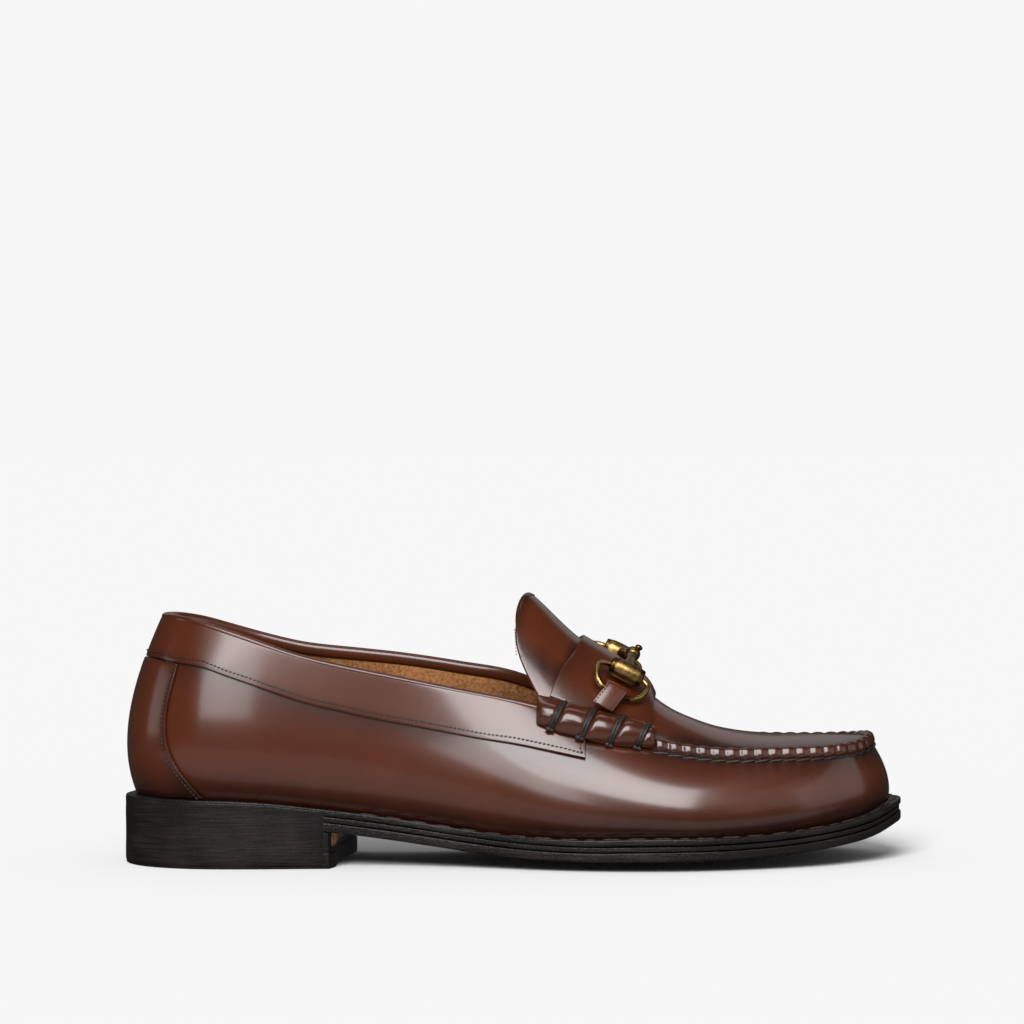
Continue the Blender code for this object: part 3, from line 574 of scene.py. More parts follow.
upper = finished(wall_side(True), "calf_upper", WALL_LEATHER, "upper_leather", "upper")
subdivided(thickened(upper, SKIN_DEPTH), 2)
lining = finished(wall_side(False), "suede_lining", SUEDE, "lining")
subdivided(thickened(lining, LINING_DEPTH), 2)

# Heel counter
# A curved piece of calf laid over the back seam. Its front edges are turned under and sewn down
# with a row of fine brown thread.
SHEET_THICK = {"heel_counter": 0.0012, "collar_band": 0.0012, "tongue": 0.0018, "saddle": 0.0016}
SKIN_THICK = 0.0013
CUT_EDGE = 0.00035
STITCH_LENGTH = 0.0013
STITCH_WIDTH = 0.00068
STITCH_HEIGHT = 0.00042
STITCH_PITCH = 0.00165
STITCH_LIFT = 0.00005
COUNTER_MARGIN = 0.0016
THREAD_BROWN = (0.012, 0.006, 0.004, 1)
THREAD_WORN = (0.050, 0.026, 0.016, 1)


def thread_fibres():
    """Twisted fibres, worn lighter here and there."""
    effect = Effect("thread_fibres", [("Dark", "Color"), ("Light", "Color")],
                    [("Base Color", "Color"), ("Normal", "Vector")])
    fibres = effect.noise(1400.0, detail=3.0)
    share = effect.fit(fibres, 0.0, 1.0, 0.35, 0.7)
    effect.link(effect.mix(share, effect.given["Dark"], effect.given["Light"]), effect.result["Base Color"])
    effect.link(effect.relief(fibres, 0.5, 0.0002), effect.result["Normal"])
    return effect


THREAD_FIBRES = thread_fibres()


def thread_finish(name, dark, light, roughness):
    finish = Finish(name, roughness=roughness)
    finish.add(THREAD_FIBRES, Dark=dark, Light=light)
    return finish.material


STITCH_THREAD = thread_finish("stitch_thread", THREAD_BROWN, THREAD_WORN, 0.55)


def borders(shape, faces):
    """The closed runs of points round a patch of faces, the longest first."""
    onward = {}
    for edge in shape.edges:
        if sum(face in faces for face in edge.link_faces) == 1:
            for vert in edge.verts:
                onward.setdefault(vert, []).append(edge.other_vert(vert))
    runs = []
    while onward:
        first = min(onward, key=lambda vert: vert.co.z)
        run, last, here = [first.co.copy()], first, onward[first][0]
        del onward[first]
        while here is not first and here in onward:
            run.append(here.co.copy())
            ahead = [vert for vert in onward[here] if vert is not last]
            del onward[here]
            last, here = here, ahead[0]
        runs.append(run)
    return sorted(runs, key=len, reverse=True)


def outer_faces(shape, thick):
    """The faces of a sheet that look out of the shoe, without the narrow ones of its cut edge."""
    tree = BVHTree.FromBMesh(shape)
    wide = [face for face in shape.faces
            if face.calc_area() >= 1.3 * thick * max(edge.calc_length() for edge in face.edges)]
    return set(face for face in wide if backed(face, tree, 1.7 * thick) and looks_out(face))


def sheet_edge(node):
    """The edge of the outer face of a sheet-like CAD node, as a closed run of points."""
    shape = merged(node)
    run = borders(shape, outer_faces(shape, SHEET_THICK[node]))[0]
    shape.free()
    return run


def outer_tree(node):
    """A finder of places on the outer face of a sheet-like CAD node."""
    shape = merged(node)
    only(shape, outer_faces(shape, SKIN_THICK))
    bmesh.ops.recalc_face_normals(shape, faces=shape.faces)
    tree = BVHTree.FromBMesh(shape)
    shape.free()
    return tree


def corners_of(run, sharper=38):
    """Splits a closed run of points at its corners."""
    count = len(run)
    corners = []
    for i in range(count):
        before = run[i] - run[i - 1]
        after = run[(i + 1) % count] - run[i]
        if before.angle(after, 0.0) > radians(sharper):
            corners.append(i)
    sides = []
    for start, end in zip(corners, corners[1:] + [corners[0] + count]):
        sides.append([run[i % count] for i in range(start, end + 1)])
    return [side for side in sides if (side[-1] - side[0]).length > 0.004]


def spaced(points, pitch):
    """Evenly spaced points on a smooth curve through a run of points."""
    fine = []
    last = len(points) - 1
    for i in range(last):
        a, b, c, d = (points[min(max(i + k, 0), last)] for k in (-1, 0, 1, 2))
        for k in range(8):
            t = k / 8
            fine.append(0.5 * (2 * b + (c - a) * t + (2 * a - 5 * b + 4 * c - d) * t ** 2
                               + (3 * b - a - 3 * c + d) * t ** 3))
    fine.append(points[-1])
    total = sum((b - a).length for a, b in zip(fine, fine[1:]))
    step = total / max(round(total / pitch), 1)
    even, travelled, wanted = [fine[0].copy()], 0.0, step
    for a, b in zip(fine, fine[1:]):
        stride = (b - a).length
        while stride > 0 and travelled + stride >= wanted and wanted < total - step / 2:
            even.append(a.lerp(b, (wanted - travelled) / stride))
            wanted += step
        travelled += stride
    even.append(fine[-1].copy())
    return even


def directions(points):
    """The way along a run at each of its points."""
    ends = [points[0]] + list(points) + [points[-1]]
    return [(ends[i + 2] - ends[i]).normalized() for i in range(len(points))]


def inset(points, distance, node, lift=0.0):
    """A run moved onto a sheet's outer face, a distance from its edge; gives places and normals."""
    tree = outer_tree(node)
    moved = []
    for point, way in zip(points, directions(points)):
        _, normal, _, _ = tree.find_nearest(point)
        aims = [point + hand * distance * way.cross(normal).normalized() for hand in (-1, 1)]
        found = min((tree.find_nearest(aim) for aim in aims), key=lambda hit: hit[3])
        moved.append((found[0] + lift * found[1], found[1]))
    return moved


def frame_at(place, along, normal):
    """A matrix that lays Z along a run and Y off the surface."""
    side = normal.cross(along).normalized()
    upward = along.cross(side)
    turn = Matrix((side, upward, along)).transposed().to_4x4()
    return Matrix.Translation(place) @ turn


def add_grain(shape, place, way, normal, sizes, around=6, rings=4):
    """One visible stitch, a slim grain of thread; its half sizes are across, off and along."""
    turn = frame_at(place, way, normal) @ Matrix.Diagonal((*sizes, 1))
    bmesh.ops.create_uvsphere(shape, u_segments=around, v_segments=rings, radius=1.0, matrix=turn)


def add_stitches(shape, seats, length=STITCH_LENGTH, width=STITCH_WIDTH, height=STITCH_HEIGHT, slant=0.0):
    """Lays one stitch at each seat of a run."""
    ways = directions([place for place, normal in seats])
    for (place, normal), way in zip(seats, ways):
        way = (way - way.dot(normal) * normal).normalized()
        way = Matrix.Rotation(slant, 3, normal) @ way
        add_grain(shape, place, way, normal, (width / 2, height / 2, length / 2))


def tree_of(node):
    shape = merged(node)
    tree = BVHTree.FromBMesh(shape)
    shape.free()
    return tree


def finder_of(points):
    """A finder of the closest of some points."""
    finder = KDTree(len(points))
    for i, point in enumerate(points):
        finder.insert(point, i)
    finder.balance()
    return finder


def near(points):
    """A finder of the distance to the closest of some points."""
    finder = finder_of(points)
    return lambda place: finder.find(place)[2]


def fading(distance, width):
    return exp(-(distance / width) ** 2)


def calf_piece(node, name, width=CUT_EDGE, segments=2):
    """A cut piece of calf with its edges rounded."""
    shape = rounded(merged(node), width, segments)
    return subdivided(finished(shape, name, LEATHER, "upper_leather", node), 2)


COUNTER_SIDES = corners_of(sheet_edge("heel_counter"))
COUNTER_FRONTS = sorted(COUNTER_SIDES, key=lambda side: max(p.z for p in side) - min(p.z for p in side))[-2:]
from_counter = near([point for side in COUNTER_FRONTS for point in spaced(side, 0.002)])

counter = calf_piece("heel_counter", "counter_calf")

counter_stitches = bmesh.new()
for side in COUNTER_FRONTS:
    seats = inset(spaced(side, STITCH_PITCH)[1:-1], COUNTER_MARGIN, "heel_counter", STITCH_LIFT)
    add_stitches(counter_stitches, seats)
finished(counter_stitches, "counter_stitches", STITCH_THREAD, "seam_leather")

# Collar band
# A strip of calf round the topline, stitched along its lower edge. At the top it is folded over
# a soft cord into the shoe, where its rolled edge shows above the lining.
BAND_MARGIN = 0.0021
BAND_SLANT = 0.25
BAND_SIDES = corners_of(sheet_edge("collar_band"), 62)
BAND_LOW, BAND_TOP = sorted(sorted(BAND_SIDES, key=len)[-2:],
                            key=lambda side: sum(p.z for p in side) / len(side))
BAND_FRONTS = [side for side in BAND_SIDES
               if side[0].x > 0 and abs(side[-1].z - side[0].z) > 0.8 * (side[-1] - side[0]).length]
FOLD_PROFILE = [
    # into the shoe, up; in mm from the band's top edge
    (-0.06, -1.3), (-0.10, -0.4), (0.0, 0.25), (0.45, 0.72), (1.2, 1.0), (2.2, 1.05), (3.1, 0.75),
    (3.75, 0.1), (4.05, -0.8), (4.15, -1.9), (4.10, -3.0), (3.85, -3.9), (3.45, -4.2), (3.2, -3.6),
    (3.2, -1.4), (0.5, -1.2),
]

band = calf_piece("collar_band", "band_calf")


def level_outward(point, way):
    """The level direction out of the shoe that is square to a run."""
    outward = way.cross(Vector((0, 0, 1))).normalized()
    middle = Vector((min(max(point.x, -0.11), 0.1), 0.003, point.z))
    return outward if outward.dot(point - middle) >= 0 else -outward


def fold_sections():
    path = spaced(BAND_TOP, 0.003)
    sections = []
    for point, way in zip(path, directions(path)):
        inward = -level_outward(point, way)
        sections.append([point + inward * a / 1000 + Vector((0, 0, b / 1000)) for a, b in FOLD_PROFILE])
    return sections


fold = finished(sweep(fold_sections()), "collar_fold", LEATHER, "upper_leather")
subdivided(fold, 1)


def sewn_run(node, top, distance):
    """Seats of the stitches along a sheet's edge, all but its top side."""
    run = sheet_edge(node)
    away = near(top)
    free = [away(point) > 1e-4 for point in run]
    first = next(i for i in range(len(run)) if free[i] and not free[i - 1])
    rest = [run[(first + i) % len(run)] for i in range(len(run)) if free[(first + i) % len(run)]]
    from_edge = near(spaced(run + run[:1], 0.0005))
    seats = inset(spaced(rest, STITCH_PITCH), distance, node, STITCH_LIFT)
    return [seat for seat in seats if from_edge(seat[0]) > 0.9 * distance]


band_stitches = bmesh.new()
add_stitches(band_stitches, sewn_run("collar_band", BAND_TOP, BAND_MARGIN), slant=BAND_SLANT)
finished(band_stitches, "band_stitches", STITCH_THREAD, "seam_leather")

# Tongue
# A free tab of calf that stands up behind the saddle and is sewn fast under it. It is cut round,
# with a fine row of stitches close to its edge.
TONGUE_MARGIN = 0.0011
TONGUE_PITCH = 0.0013
SADDLE_TOP = 0.062
tongue_tree = tree_of("tongue")
TONGUE_EDGE = sheet_edge("tongue")
TONGUE_EDGE.append(TONGUE_EDGE[0])
tongue = calf_piece("tongue", "tongue_calf", 0.0004, 3)
from_tongue = near(spaced(TONGUE_EDGE, 0.001))
BEHIND = Vector((-0.002, 0, 0))
tongue_rear = [point for point in spaced(TONGUE_EDGE, TONGUE_PITCH)
               if point.z > SADDLE_TOP and tongue_tree.find_nearest(point + BEHIND)[3] > 0.0012]
tongue_stitches = bmesh.new()
for place, normal in inset(tongue_rear, TONGUE_MARGIN, "tongue", 0.00003):
    way = Vector((0.4, 0.0, 0.9)).cross(normal).cross(normal).normalized()
    add_grain(tongue_stitches, place, way, normal, (0.00018, 0.00016, 0.00042))
finished(tongue_stitches, "tongue_stitches", STITCH_THREAD, "seam_leather")

# Saddle
# The strap over the instep, of the same calf, with its edges turned. Its ends run down both sides
# to the rolls, which bind them to the walls.
saddle = calf_piece("saddle", "saddle_calf", 0.0004, 3)
from_saddle = near(sheet_edge("saddle"))

# Beef rolls
# The saddle's ends are drawn up over the seam and bound by four turns of black waxed thread,
# so that the leather swells between them.
LACES = (0.18, 0.43, 0.66, 0.87)
LACE_LEAN = 0.45
LACE_PULL = 0.0009
CORD_ROUND = 0.00068
CORD_HALF_GAP = 0.00055
ROLL_MIDDLE_DOWN = 0.0055
ROLL_SLOPE = 0.30
WAXED_BLACK = (0.006, 0.005, 0.005, 1)
WAXED_GREY = (0.035, 0.032, 0.030, 1)
WAXED_THREAD = thread_finish("waxed_thread", WAXED_BLACK, WAXED_GREY, 0.45)


def make_roll(node, side):
    """The roll, pulled in under each of its laces; also gives the places of the laces along it."""
    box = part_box(node)
    places = [box[0].x + (box[1].x - box[0].x) * share for share in LACES]
    roll = finished(merged(node), node.replace("beefroll", "roll") + "_calf", LEATHER, "seam_leather", node)
    subdivided(roll, 3)
    dressed = bpy.data.meshes.new_from_object(roll.evaluated_get(bpy.context.evaluated_depsgraph_get()))
    roll.modifiers.clear()
    roll.data = dressed
    normals = [vert.normal.copy() for vert in dressed.vertices]
    for vert, normal in zip(dressed.vertices, normals):
        middle = box[1].z - ROLL_MIDDLE_DOWN - ROLL_SLOPE * (vert.co.x - box[0].x)
        lean = LACE_LEAN * (vert.co.z - middle)
        pull = sum(fading(vert.co.x - lean - place, 0.0013) for place in places)
        if normal.y * side > -0.2:
            vert.co -= LACE_PULL * min(pull, 1) * normal
    dressed.shade_smooth()
    return roll, places, box


def tube(points, radius, sides, off):
    """A round cord along points; its first side is square to the way off the surface."""
    turns = [2 * pi * k / sides for k in range(sides)]
    sections = []
    for point, way in zip(points, directions(points)):
        side = way.cross(off).normalized()
        up = side.cross(way).normalized()
        sections.append([point + radius * (cos(turn) * side + sin(turn) * up) for turn in turns])
    return sweep(sections)


def add_lace(name, roll_tree, place, side, box, knots):
    """One turn of waxed thread over the roll, leaning forward at its top, with its knot below."""
    tilt = radians(28)
    out = Vector((0, side * cos(tilt), sin(tilt)))
    up = Vector((0, -side * sin(tilt), cos(tilt)))
    height = box[1].z - ROLL_MIDDLE_DOWN - ROLL_SLOPE * (place - box[0].x)
    axis = Vector((place, (box[0].y + box[1].y) / 2, height))
    seats = []
    for k in range(49):
        offset = -0.012 + 0.0005 * k
        start = axis + Vector((LACE_LEAN * offset, 0, 0)) + 0.03 * out + offset * up
        hit = roll_tree.ray_cast(start, -out, 0.045)
        if hit[0] is not None:
            seats.append(hit[0] + 0.0003 * hit[1])
    seats = spaced(seats[::2] + seats[-1:], 0.0009)
    seats = [seats[0] - 0.0012 * out] + seats + [seats[-1] - 0.0012 * out]
    for k, shift in enumerate((-CORD_HALF_GAP, CORD_HALF_GAP)):
        moved = [seat + Vector((shift, 0, 0)) for seat in seats]
        cord = tube(moved, CORD_ROUND, 8, out)
        subdivided(finished(cord, f"{name}_{k}", WAXED_THREAD, "seam_leather"), 1)
    for shift, drop, size in ((-0.0010, 0.0002, 0.00115), (0.0004, 0.0007, 0.00085)):
        spot = seats[1] + Vector((shift, 0, -drop)) + 0.0004 * out
        stretch = Matrix.Diagonal((1.25, 0.9, 0.8, 1))
        bmesh.ops.create_icosphere(knots, subdivisions=2, radius=size,
                                   matrix=Matrix.Translation(spot) @ Matrix.Rotation(0.5, 4, "Y") @ stretch)


for hand, side in (("lateral", -1), ("medial", 1)):
    roll, places, box = make_roll("beefroll_" + hand, side)
    roll_shape = bmesh.new()
    roll_shape.from_mesh(roll.data)
    roll_tree = BVHTree.FromBMesh(roll_shape)
    roll_shape.free()
    knots = bmesh.new()
    for k, place in enumerate(places):
        add_lace(f"roll_lace_{hand}_{k}", roll_tree, place, side, box, knots)
    finished(knots, f"roll_knots_{hand}", WAXED_THREAD, "seam_leather")
    write_points(roll, "burnish_and_shade", lambda place: 0.45)

# Apron seam
# The gathered edge of the walls and the edge of the apron stand up together and are whipped by
# hand with waxed thread, so the ridge swells between stitches and the wall puckers below it.
SEAM_PROFILE = [
    # out of the shoe, up, and how far the stitch pulls it in; in mm from the rim
    (0.9, -3.9, 0.0), (2.0, -3.4, 0.5), (2.7, -2.5, 0.95), (2.75, -1.5, 1.1), (2.40, -0.45, 1.1),
    (2.00, 0.55, 1.0), (1.40, 1.30, 0.85), (0.4, 1.60, 0.65), (-0.6, 1.3, 0.5), (-1.5, 0.5, 0.3),
    (-2.0, -0.4, 0.0), (-1.0, -1.8, 0.0),
]
APRON_EDGE = [
    # along, out to the lateral side, to the medial side, height on each; in mm from the frame's origin
    (29.0, -30.6, 35.9, 54.8, 57.0),
    (54.1, -31.6, 36.9, 47.8, 49.0),
    (77.0, -31.1, 36.4, 44.3, 45.3),
    (99.1, -28.1, 33.9, 44.0, 44.8),
    (119.0, -22.6, 29.3, 44.2, 45.0),
    (132.0, -12.9, 20.5, 45.3, 46.0),
]
APRON_TOE = (138.0, 5.0, 47.3)
SEAM_STEP = 0.0007


def apron_rim():
    """The line where the walls meet the apron, from roll to roll round the toe."""
    lateral = [Vector((x, out, up)) / 1000 for x, out, _, up, _ in APRON_EDGE]
    medial = [Vector((x, out, up)) / 1000 for x, _, out, _, up in APRON_EDGE]
    return lateral + [Vector(APRON_TOE) / 1000] + medial[::-1]


seam_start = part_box("moc_seam")[0].x - 0.001
SEAM_PATH = [point for point in spaced(apron_rim(), SEAM_STEP) if point.x > seam_start]
SEAM_WAYS = directions(SEAM_PATH)
SEAM_COUNT = round(len(SEAM_PATH) * SEAM_STEP / SEAM_PITCH)


def seam_point(i, out, up):
    outward = level_outward(SEAM_PATH[i], SEAM_WAYS[i])
    return SEAM_PATH[i] + outward * out / 1000 + Vector((0, 0, up / 1000))


def seam_sections():
    sections = []
    for i in range(len(SEAM_PATH)):
        phase = i / (len(SEAM_PATH) - 1) * SEAM_COUNT
        swell = abs(sin(pi * phase)) ** 0.75
        row = []
        for out, up, pulled in SEAM_PROFILE:
            pull = pulled * (1 - swell)
            reach = max((out ** 2 + (up + 1) ** 2) ** 0.5, 0.1)
            row.append(seam_point(i, out - pull * out / reach, up - pull * (up + 1) / reach))
        sections.append(row)
    return sections


ridge = finished(sweep(seam_sections()), "apron_ridge", LEATHER, "seam_leather", "moc_seam")
subdivided(ridge, 1)
write_points(ridge, "burnish_and_shade", lambda place: 0.5)

upper_tree = tree_of("upper")
whip = bmesh.new()
for k in range(SEAM_COUNT):
    i = round((k + 0.5) / SEAM_COUNT * (len(SEAM_PATH) - 1))
    way = (SEAM_WAYS[i] + Vector((0, 0, 0.12))).normalized()
    outward = level_outward(SEAM_PATH[i], SEAM_WAYS[i])
    start = seam_point(i, 8.0, -3.6)
    place = upper_tree.ray_cast(start, -outward, 0.02)[0] + 0.0002 * outward
    add_grain(whip, place, way, outward, (0.00052, 0.00050, SEAM_PITCH * 0.60), 8, 8)
finished(whip, "whip_thread", WAXED_THREAD, "seam_leather")

# Welt stitches
# The row that sews the welt to the sole, set down along the middle of the welt's top face, from
# the waist round the toe.
WELT_PITCH = 0.0050
WELT_MARGIN = 0.0024
WELT_START = -0.062
WELT_THREAD = thread_finish("welt_thread", (0.016, 0.007, 0.004, 1), (0.060, 0.028, 0.016, 1), 0.6)
welt_shape = merged("welt")
welt_top = set(face for face in welt_shape.faces if face.normal.z > 0.6)
welt_inner, welt_rim = sorted(borders(welt_shape, welt_top)[:2],
                              key=lambda run: max(p.x for p in run) - min(p.x for p in run))
welt_inner.append(welt_inner[0])
welt_shape.free()
welt_tree = tree_of("welt")
welt_stitches = bmesh.new()
welt_outer = finder_of(welt_rim)
welt_seats = []
for point in spaced(welt_inner, WELT_PITCH):
    toward = welt_outer.find(point)[0] - point
    welt_seats.append(welt_tree.find_nearest(point + WELT_MARGIN * toward.normalized())[:2])
for (place, normal), way in zip(welt_seats, directions([place for place, normal in welt_seats])):
    if place.x > WELT_START:
        add_grain(welt_stitches, place, way, normal, (0.00045, 0.00035, 0.0020), rings=6)
finished(welt_stitches, "welt_stitches", WELT_THREAD, "sole_edge")

# Burnish, painted shade and puckers
# Dark wax is rubbed in beside the stitched edges. Along the welt, under the apron seam and beside the collar
# band's edges the walls are painted darker, partly as that wax and partly as painted shade where those parts
# shade them; the counter is painted darker along the welt in the same way. The whipping of the seam draws the
# walls into fine puckers.
from_rim = near(SEAM_PATH)
from_band = near([point for side in [BAND_LOW] + BAND_FRONTS for point in spaced(side, 0.002)])
from_welt = near(spaced(welt_inner, 0.002))
from_top = near(spaced(BAND_TOP, 0.001))


# Partly burnish, partly painted shade: darker along the welt, under the apron seam and beside the band's
# edges, where those parts shade the wall.
def upper_burnish_and_shade(place):
    low = fading(from_welt(place), 0.0085)
    seam = fading(from_rim(place), 0.009) if place.z < 0.05 else 0.0
    return min(1.0, 0.12 + 0.80 * low + 0.95 * seam + 0.5 * fading(from_band(place), 0.006))


# Darker along the welt, partly burnish and partly painted shade; darker beside its own stitched front edges,
# as burnish.
def counter_burnish_and_shade(place):
    return min(1.0, 0.18 + 0.75 * fading(from_welt(place), 0.008) + 0.4 * fading(from_counter(place), 0.004))


write_points(upper, "burnish_and_shade", upper_burnish_and_shade)


def set_pleats(piece):
    """Writes how far along the seam each point lies, and how strongly the seam puckers it."""
    finder = finder_of(SEAM_PATH)
    run = piece.data.attributes.new("pleat_run", "FLOAT", "POINT")
    fade = piece.data.attributes.new("pleat_fade", "FLOAT", "POINT")
    for vert in piece.data.vertices:
        _, index, away = finder.find(vert.co)
        run.data[vert.index].value = index * SEAM_STEP
        below = min(max((SEAM_PATH[index].z - 0.001 - vert.co.z) / 0.003, 0.0), 1.0)
        fade.data[vert.index].value = below * fading(away, 0.0065)


set_pleats(upper)
write_points(counter, "burnish_and_shade", counter_burnish_and_shade)
write_points(band, "burnish_and_shade", lambda place: 0.12 + 0.3 * fading(from_band(place), 0.003))
# Painted shadow: the fold's end inside the shoe, more than 5.2 mm below its top edge, is painted near black
# for the shadow in the gap above the lining.
write_points(fold, "burnish_and_shade", lambda place: 0.9 if from_top(place) > 0.0052 else 0.2)
write_points(tongue, "burnish_and_shade", lambda place: 0.05 + 0.9 * fading(from_tongue(place), 0.0007))
write_points(saddle, "burnish_and_shade", lambda place: 0.12 + 0.3 * fading(from_saddle(place), 0.004))

# Snaffle bit
# Cast brass with an antique finish: two rings, two barrels with their arms and a link between,
# browned in the hollows and rubbed bright on the high places.
WIRE = 0.0012
RING_HALF = 0.0105
RING_OUT = 0.0121
RING_END = 0.0045
RING_NECK = 0.0068
RING_BACK = 0.0007
BARREL_LONG = 0.0136
BARREL_ROUND = 0.0040
LINK_ROUND = 0.0030
BIT_SHIFT = {"bit_ring_lateral": Vector((-0.0010, 0, -0.0006)), "bit_ring_medial": Vector((0, 0, -0.0006))}
BRASS_BROWN = (0.060, 0.030, 0.010, 1)
BRASS_GOLD = (0.400, 0.250, 0.085, 1)
BRASS_PALE = (0.620, 0.430, 0.190, 1)


def antique_brass():
    finish = Finish("antique_brass", metallic=1.0)
    cloud = finish.noise(260.0, detail=4.0)
    pits = finish.noise(1500.0, detail=3.0)
    shade = finish.maths("SUBTRACT", cloud, finish.maths("MULTIPLY", finish.attribute("patina"), 0.45))
    tone = finish.ramp(shade, [(0.10, BRASS_BROWN), (0.42, BRASS_GOLD), (0.75, BRASS_PALE)])
    finish.link(tone, finish.shader["Base Color"])
    finish.link(finish.fit(pits, 0.24, 0.44), finish.shader["Roughness"])
    finish.link(finish.relief(pits, 0.25, 0.0002), finish.shader["Normal"])
    return finish.material


BRASS = antique_brass()


LINK_MIDDLE = (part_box("bit_link")[0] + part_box("bit_link")[1]) / 2


def ring_frame(node):
    """Middle of a ring's straight bar, and the ways along it, across the ring and off the saddle."""
    points = np.array([vert.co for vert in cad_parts[node].data.vertices])
    axes = np.linalg.svd(points - points.mean(0), full_matrices=False)[2]
    middle, along, across = Vector(points.mean(0)), Vector(axes[0]), Vector(axes[1])
    if along.x < 0:
        along = -along
    if across.dot(middle - LINK_MIDDLE) < 0:
        across = -across
    off = along.cross(across)
    if off.z < 0:
        off = -off
    run, reach, lift = ([(Vector(point) - middle).dot(way) for point in points]
                        for way in (along, across, off))
    bar = (middle + across * (min(reach) + WIRE) + along * (min(run) + max(run)) / 2
           + off * (min(lift) + max(lift)) / 2)
    return bar + BIT_SHIFT[node], along, across, off


def make_ring(hand, bar, along, across):
    """A D-shaped ring of round wire; its ends meet inside the barrel."""
    bar = bar - RING_BACK * along
    path = [bar - along * RING_END, bar - along * RING_NECK + across * 0.0001]
    for k in range(33):
        angle = pi * (1 - k / 32)
        bend = (1 if angle < pi / 2 else -1) * abs(cos(angle)) ** 0.72
        reach = WIRE + (RING_OUT - WIRE) * sin(angle) ** 0.78
        path.append(bar + along * RING_HALF * bend + across * reach)
    path += [bar + along * RING_NECK + across * 0.0001, bar + along * RING_END]
    shape = tube(path, WIRE, 10, along.cross(across))
    ring = subdivided(finished(shape, f"ring_{hand}", BRASS, "bit_metal", "bit_ring_" + hand), 1)
    middle = bar + across * RING_OUT / 2
    write_points(ring, "patina", lambda place: 0.9 if (place - middle).length < 0.0088 else 0.1)


BARREL_PROFILE = [
    # share of the length, share of the radius
    (-0.500, 0.40), (-0.500, 0.74), (-0.485, 0.82), (-0.440, 0.85), (-0.420, 0.83), (-0.400, 0.86),
    (-0.320, 0.95), (-0.150, 1.0), (0.150, 1.0), (0.330, 0.97), (0.400, 0.91), (0.420, 0.885),
    (0.440, 0.91), (0.480, 0.88), (0.500, 0.78), (0.500, 0.40),
]


def make_barrel(hand, bar, along, across, off):
    """A cast sleeve on the ring's bar, turned with a fine groove at each end."""
    shape = bmesh.new()
    verts = [shape.verts.new((share * BARREL_ROUND, 0, place * BARREL_LONG))
             for place, share in BARREL_PROFILE]
    edges = [shape.edges.new(pair) for pair in zip(verts, verts[1:])]
    bmesh.ops.spin(shape, geom=verts + edges, cent=(0, 0, 0), axis=(0, 0, 1), angle=2 * pi, steps=28,
                   use_merge=True)
    holes = [edge for edge in shape.edges if len(edge.link_faces) == 1]
    bmesh.ops.holes_fill(shape, edges=holes)
    bmesh.ops.recalc_face_normals(shape, faces=shape.faces)
    turn = Matrix((across, off, along)).transposed().to_4x4()
    bmesh.ops.transform(shape, matrix=Matrix.Translation(bar) @ turn, verts=shape.verts)
    bmesh.ops.recalc_face_normals(shape, faces=shape.faces)
    barrel = finished(shape, f"barrel_{hand}", BRASS, "bit_metal", "bit_barrel_" + hand)
    subdivided(barrel, 1)
    groove = 0.39 * BARREL_LONG
    write_points(barrel, "patina", lambda place: 0.9 if abs((place - bar).dot(along)) > groove else 0.15)


def make_arm(hand, bar, across, off):
    """The arm of a barrel: it swells at the barrel and narrows to the eye at the link."""
    way = (LINK_MIDDLE - bar).normalized()
    sections = []
    lift = (off - off.dot(way) * way).normalized()
    side = way.cross(lift)
    for k in range(13):
        share = k / 12
        middle = bar.lerp(LINK_MIDDLE, 0.20 + 0.74 * share) + 0.0009 * sin(pi * share) * lift
        radius = 0.0017 + 0.0009 * exp(-(share / 0.28) ** 2) + 0.0005 * exp(-((share - 0.93) / 0.1) ** 2)
        sections.append([middle + radius * (cos(2 * pi * i / 12) * side + 0.85 * sin(2 * pi * i / 12) * lift)
                         for i in range(12)])
    arm = finished(sweep(sections), f"arm_{hand}", BRASS, "bit_metal")
    subdivided(arm, 1)
    write_points(arm, "patina", lambda place: 0.3 + 0.6 * fading((place - bar).length - BARREL_ROUND, 0.0012))


for hand in ("lateral", "medial"):
    bar, along, across, off = ring_frame("bit_ring_" + hand)
    make_ring(hand, bar, along, across)
    make_barrel(hand, bar, along, across, off)
    make_arm(hand, bar, across, off)


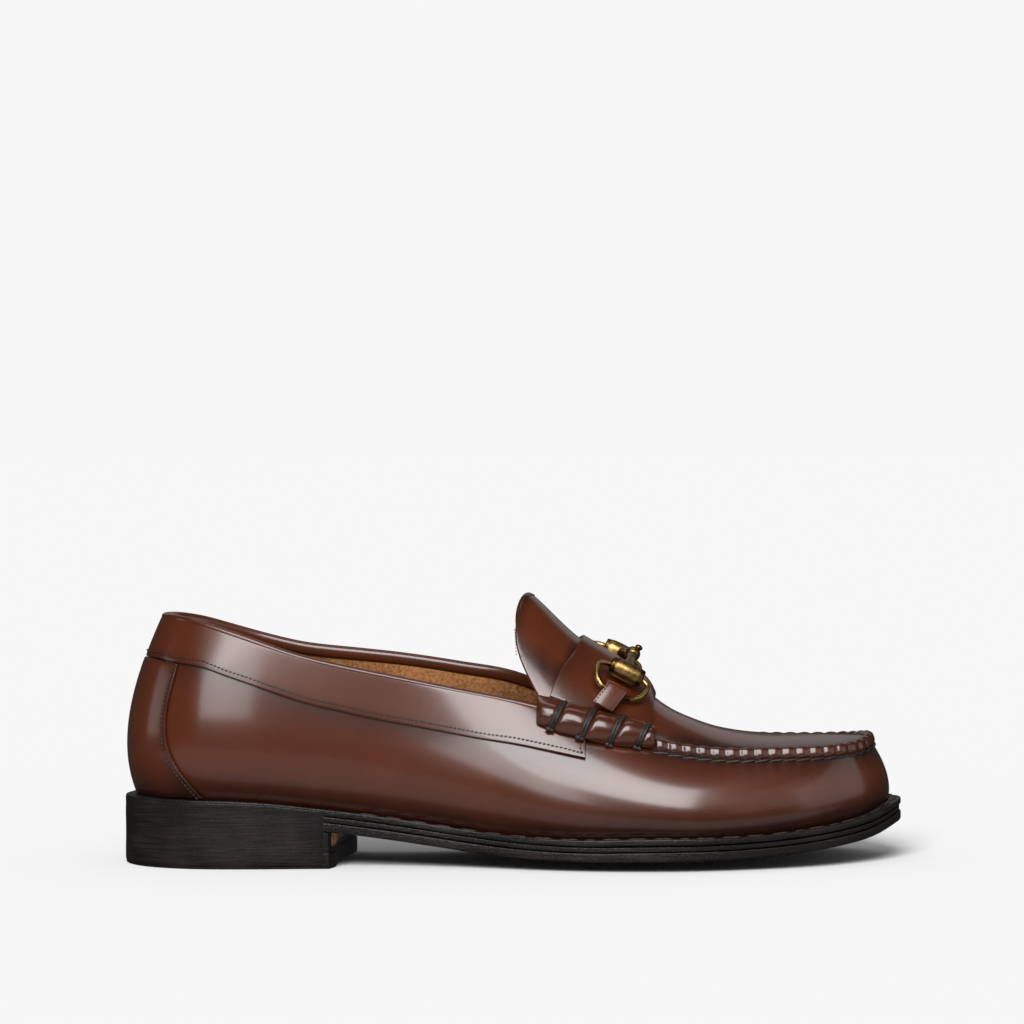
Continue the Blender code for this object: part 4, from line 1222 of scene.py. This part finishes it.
def make_link():
    """The round link that joins the arms, with its riveted post on top."""
    shape = bmesh.new()
    bmesh.ops.create_uvsphere(shape, u_segments=20, v_segments=12, radius=LINK_ROUND,
                              matrix=Matrix.Translation(LINK_MIDDLE))
    post = Matrix.Translation(LINK_MIDDLE + Vector((0.0018, 0, 0.0014))) @ Matrix.Rotation(0.55, 4, "Y")
    bmesh.ops.create_cone(shape, cap_ends=True, segments=16, radius1=0.0013, radius2=0.0010, depth=0.0024,
                          matrix=post)
    head = post @ Matrix.Translation((0, 0, 0.0013)) @ Matrix.Diagonal((1, 1, 0.7, 1))
    bmesh.ops.create_uvsphere(shape, u_segments=16, v_segments=10, radius=0.0015, matrix=head)
    link = finished(shape, "link", BRASS, "bit_metal", "bit_link")
    write_points(link, "patina", lambda place: 0.5)


make_link()

# Tabs of the bit
# Narrow folded strips of the same calf, stitched along both edges, that hold the rings and run in
# under the rolls. They are drawn out and skewed a little, as the bit hangs.
TAB_BACK = 0.0008
TAB_DRAWN = 0.36
TAB_SKEW = 0.27
TAB_MARGIN = 0.0009
TAB_STITCHES = 7
TAB_PITCH = 0.0016

for hand in ("lateral", "medial"):
    node = "bit_tab_" + hand
    bar, along, across, off = ring_frame("bit_ring_" + hand)
    shape = merged(node)
    run = [(vert.co - bar).dot(along) for vert in shape.verts]
    middle, half = (min(run) + max(run)) / 2 - TAB_BACK, (max(run) - min(run)) / 2 - TAB_MARGIN
    for vert in shape.verts:
        down = max((vert.co - bar).dot(across) - RING_OUT, 0)
        vert.co += across * TAB_DRAWN * down - along * (TAB_BACK + TAB_SKEW * down)
    tab_tree = BVHTree.FromBMesh(shape)
    tab = finished(rounded(shape, 0.00025, 2), node + "_calf", LEATHER, "upper_leather", node)
    write_points(tab, "burnish_and_shade", lambda place: 0.1)
    tab_stitches = bmesh.new()
    for edge in (-1, 1):
        seats = []
        for k in range(TAB_STITCHES):
            aim = bar + across * (RING_OUT - 0.0006 + TAB_PITCH * k)
            aim += along * (edge * half + middle - 0.00032 * k)
            hit = tab_tree.ray_cast(aim + 0.01 * off, -off, 0.02)
            if hit[0] is not None:
                seats.append((hit[0], hit[1]))
        if len(seats) > 2:
            add_stitches(tab_stitches, seats, 0.0011, 0.0006, 0.0005)
    finished(tab_stitches, f"tab_stitches_{hand}", STITCH_THREAD, "seam_leather")
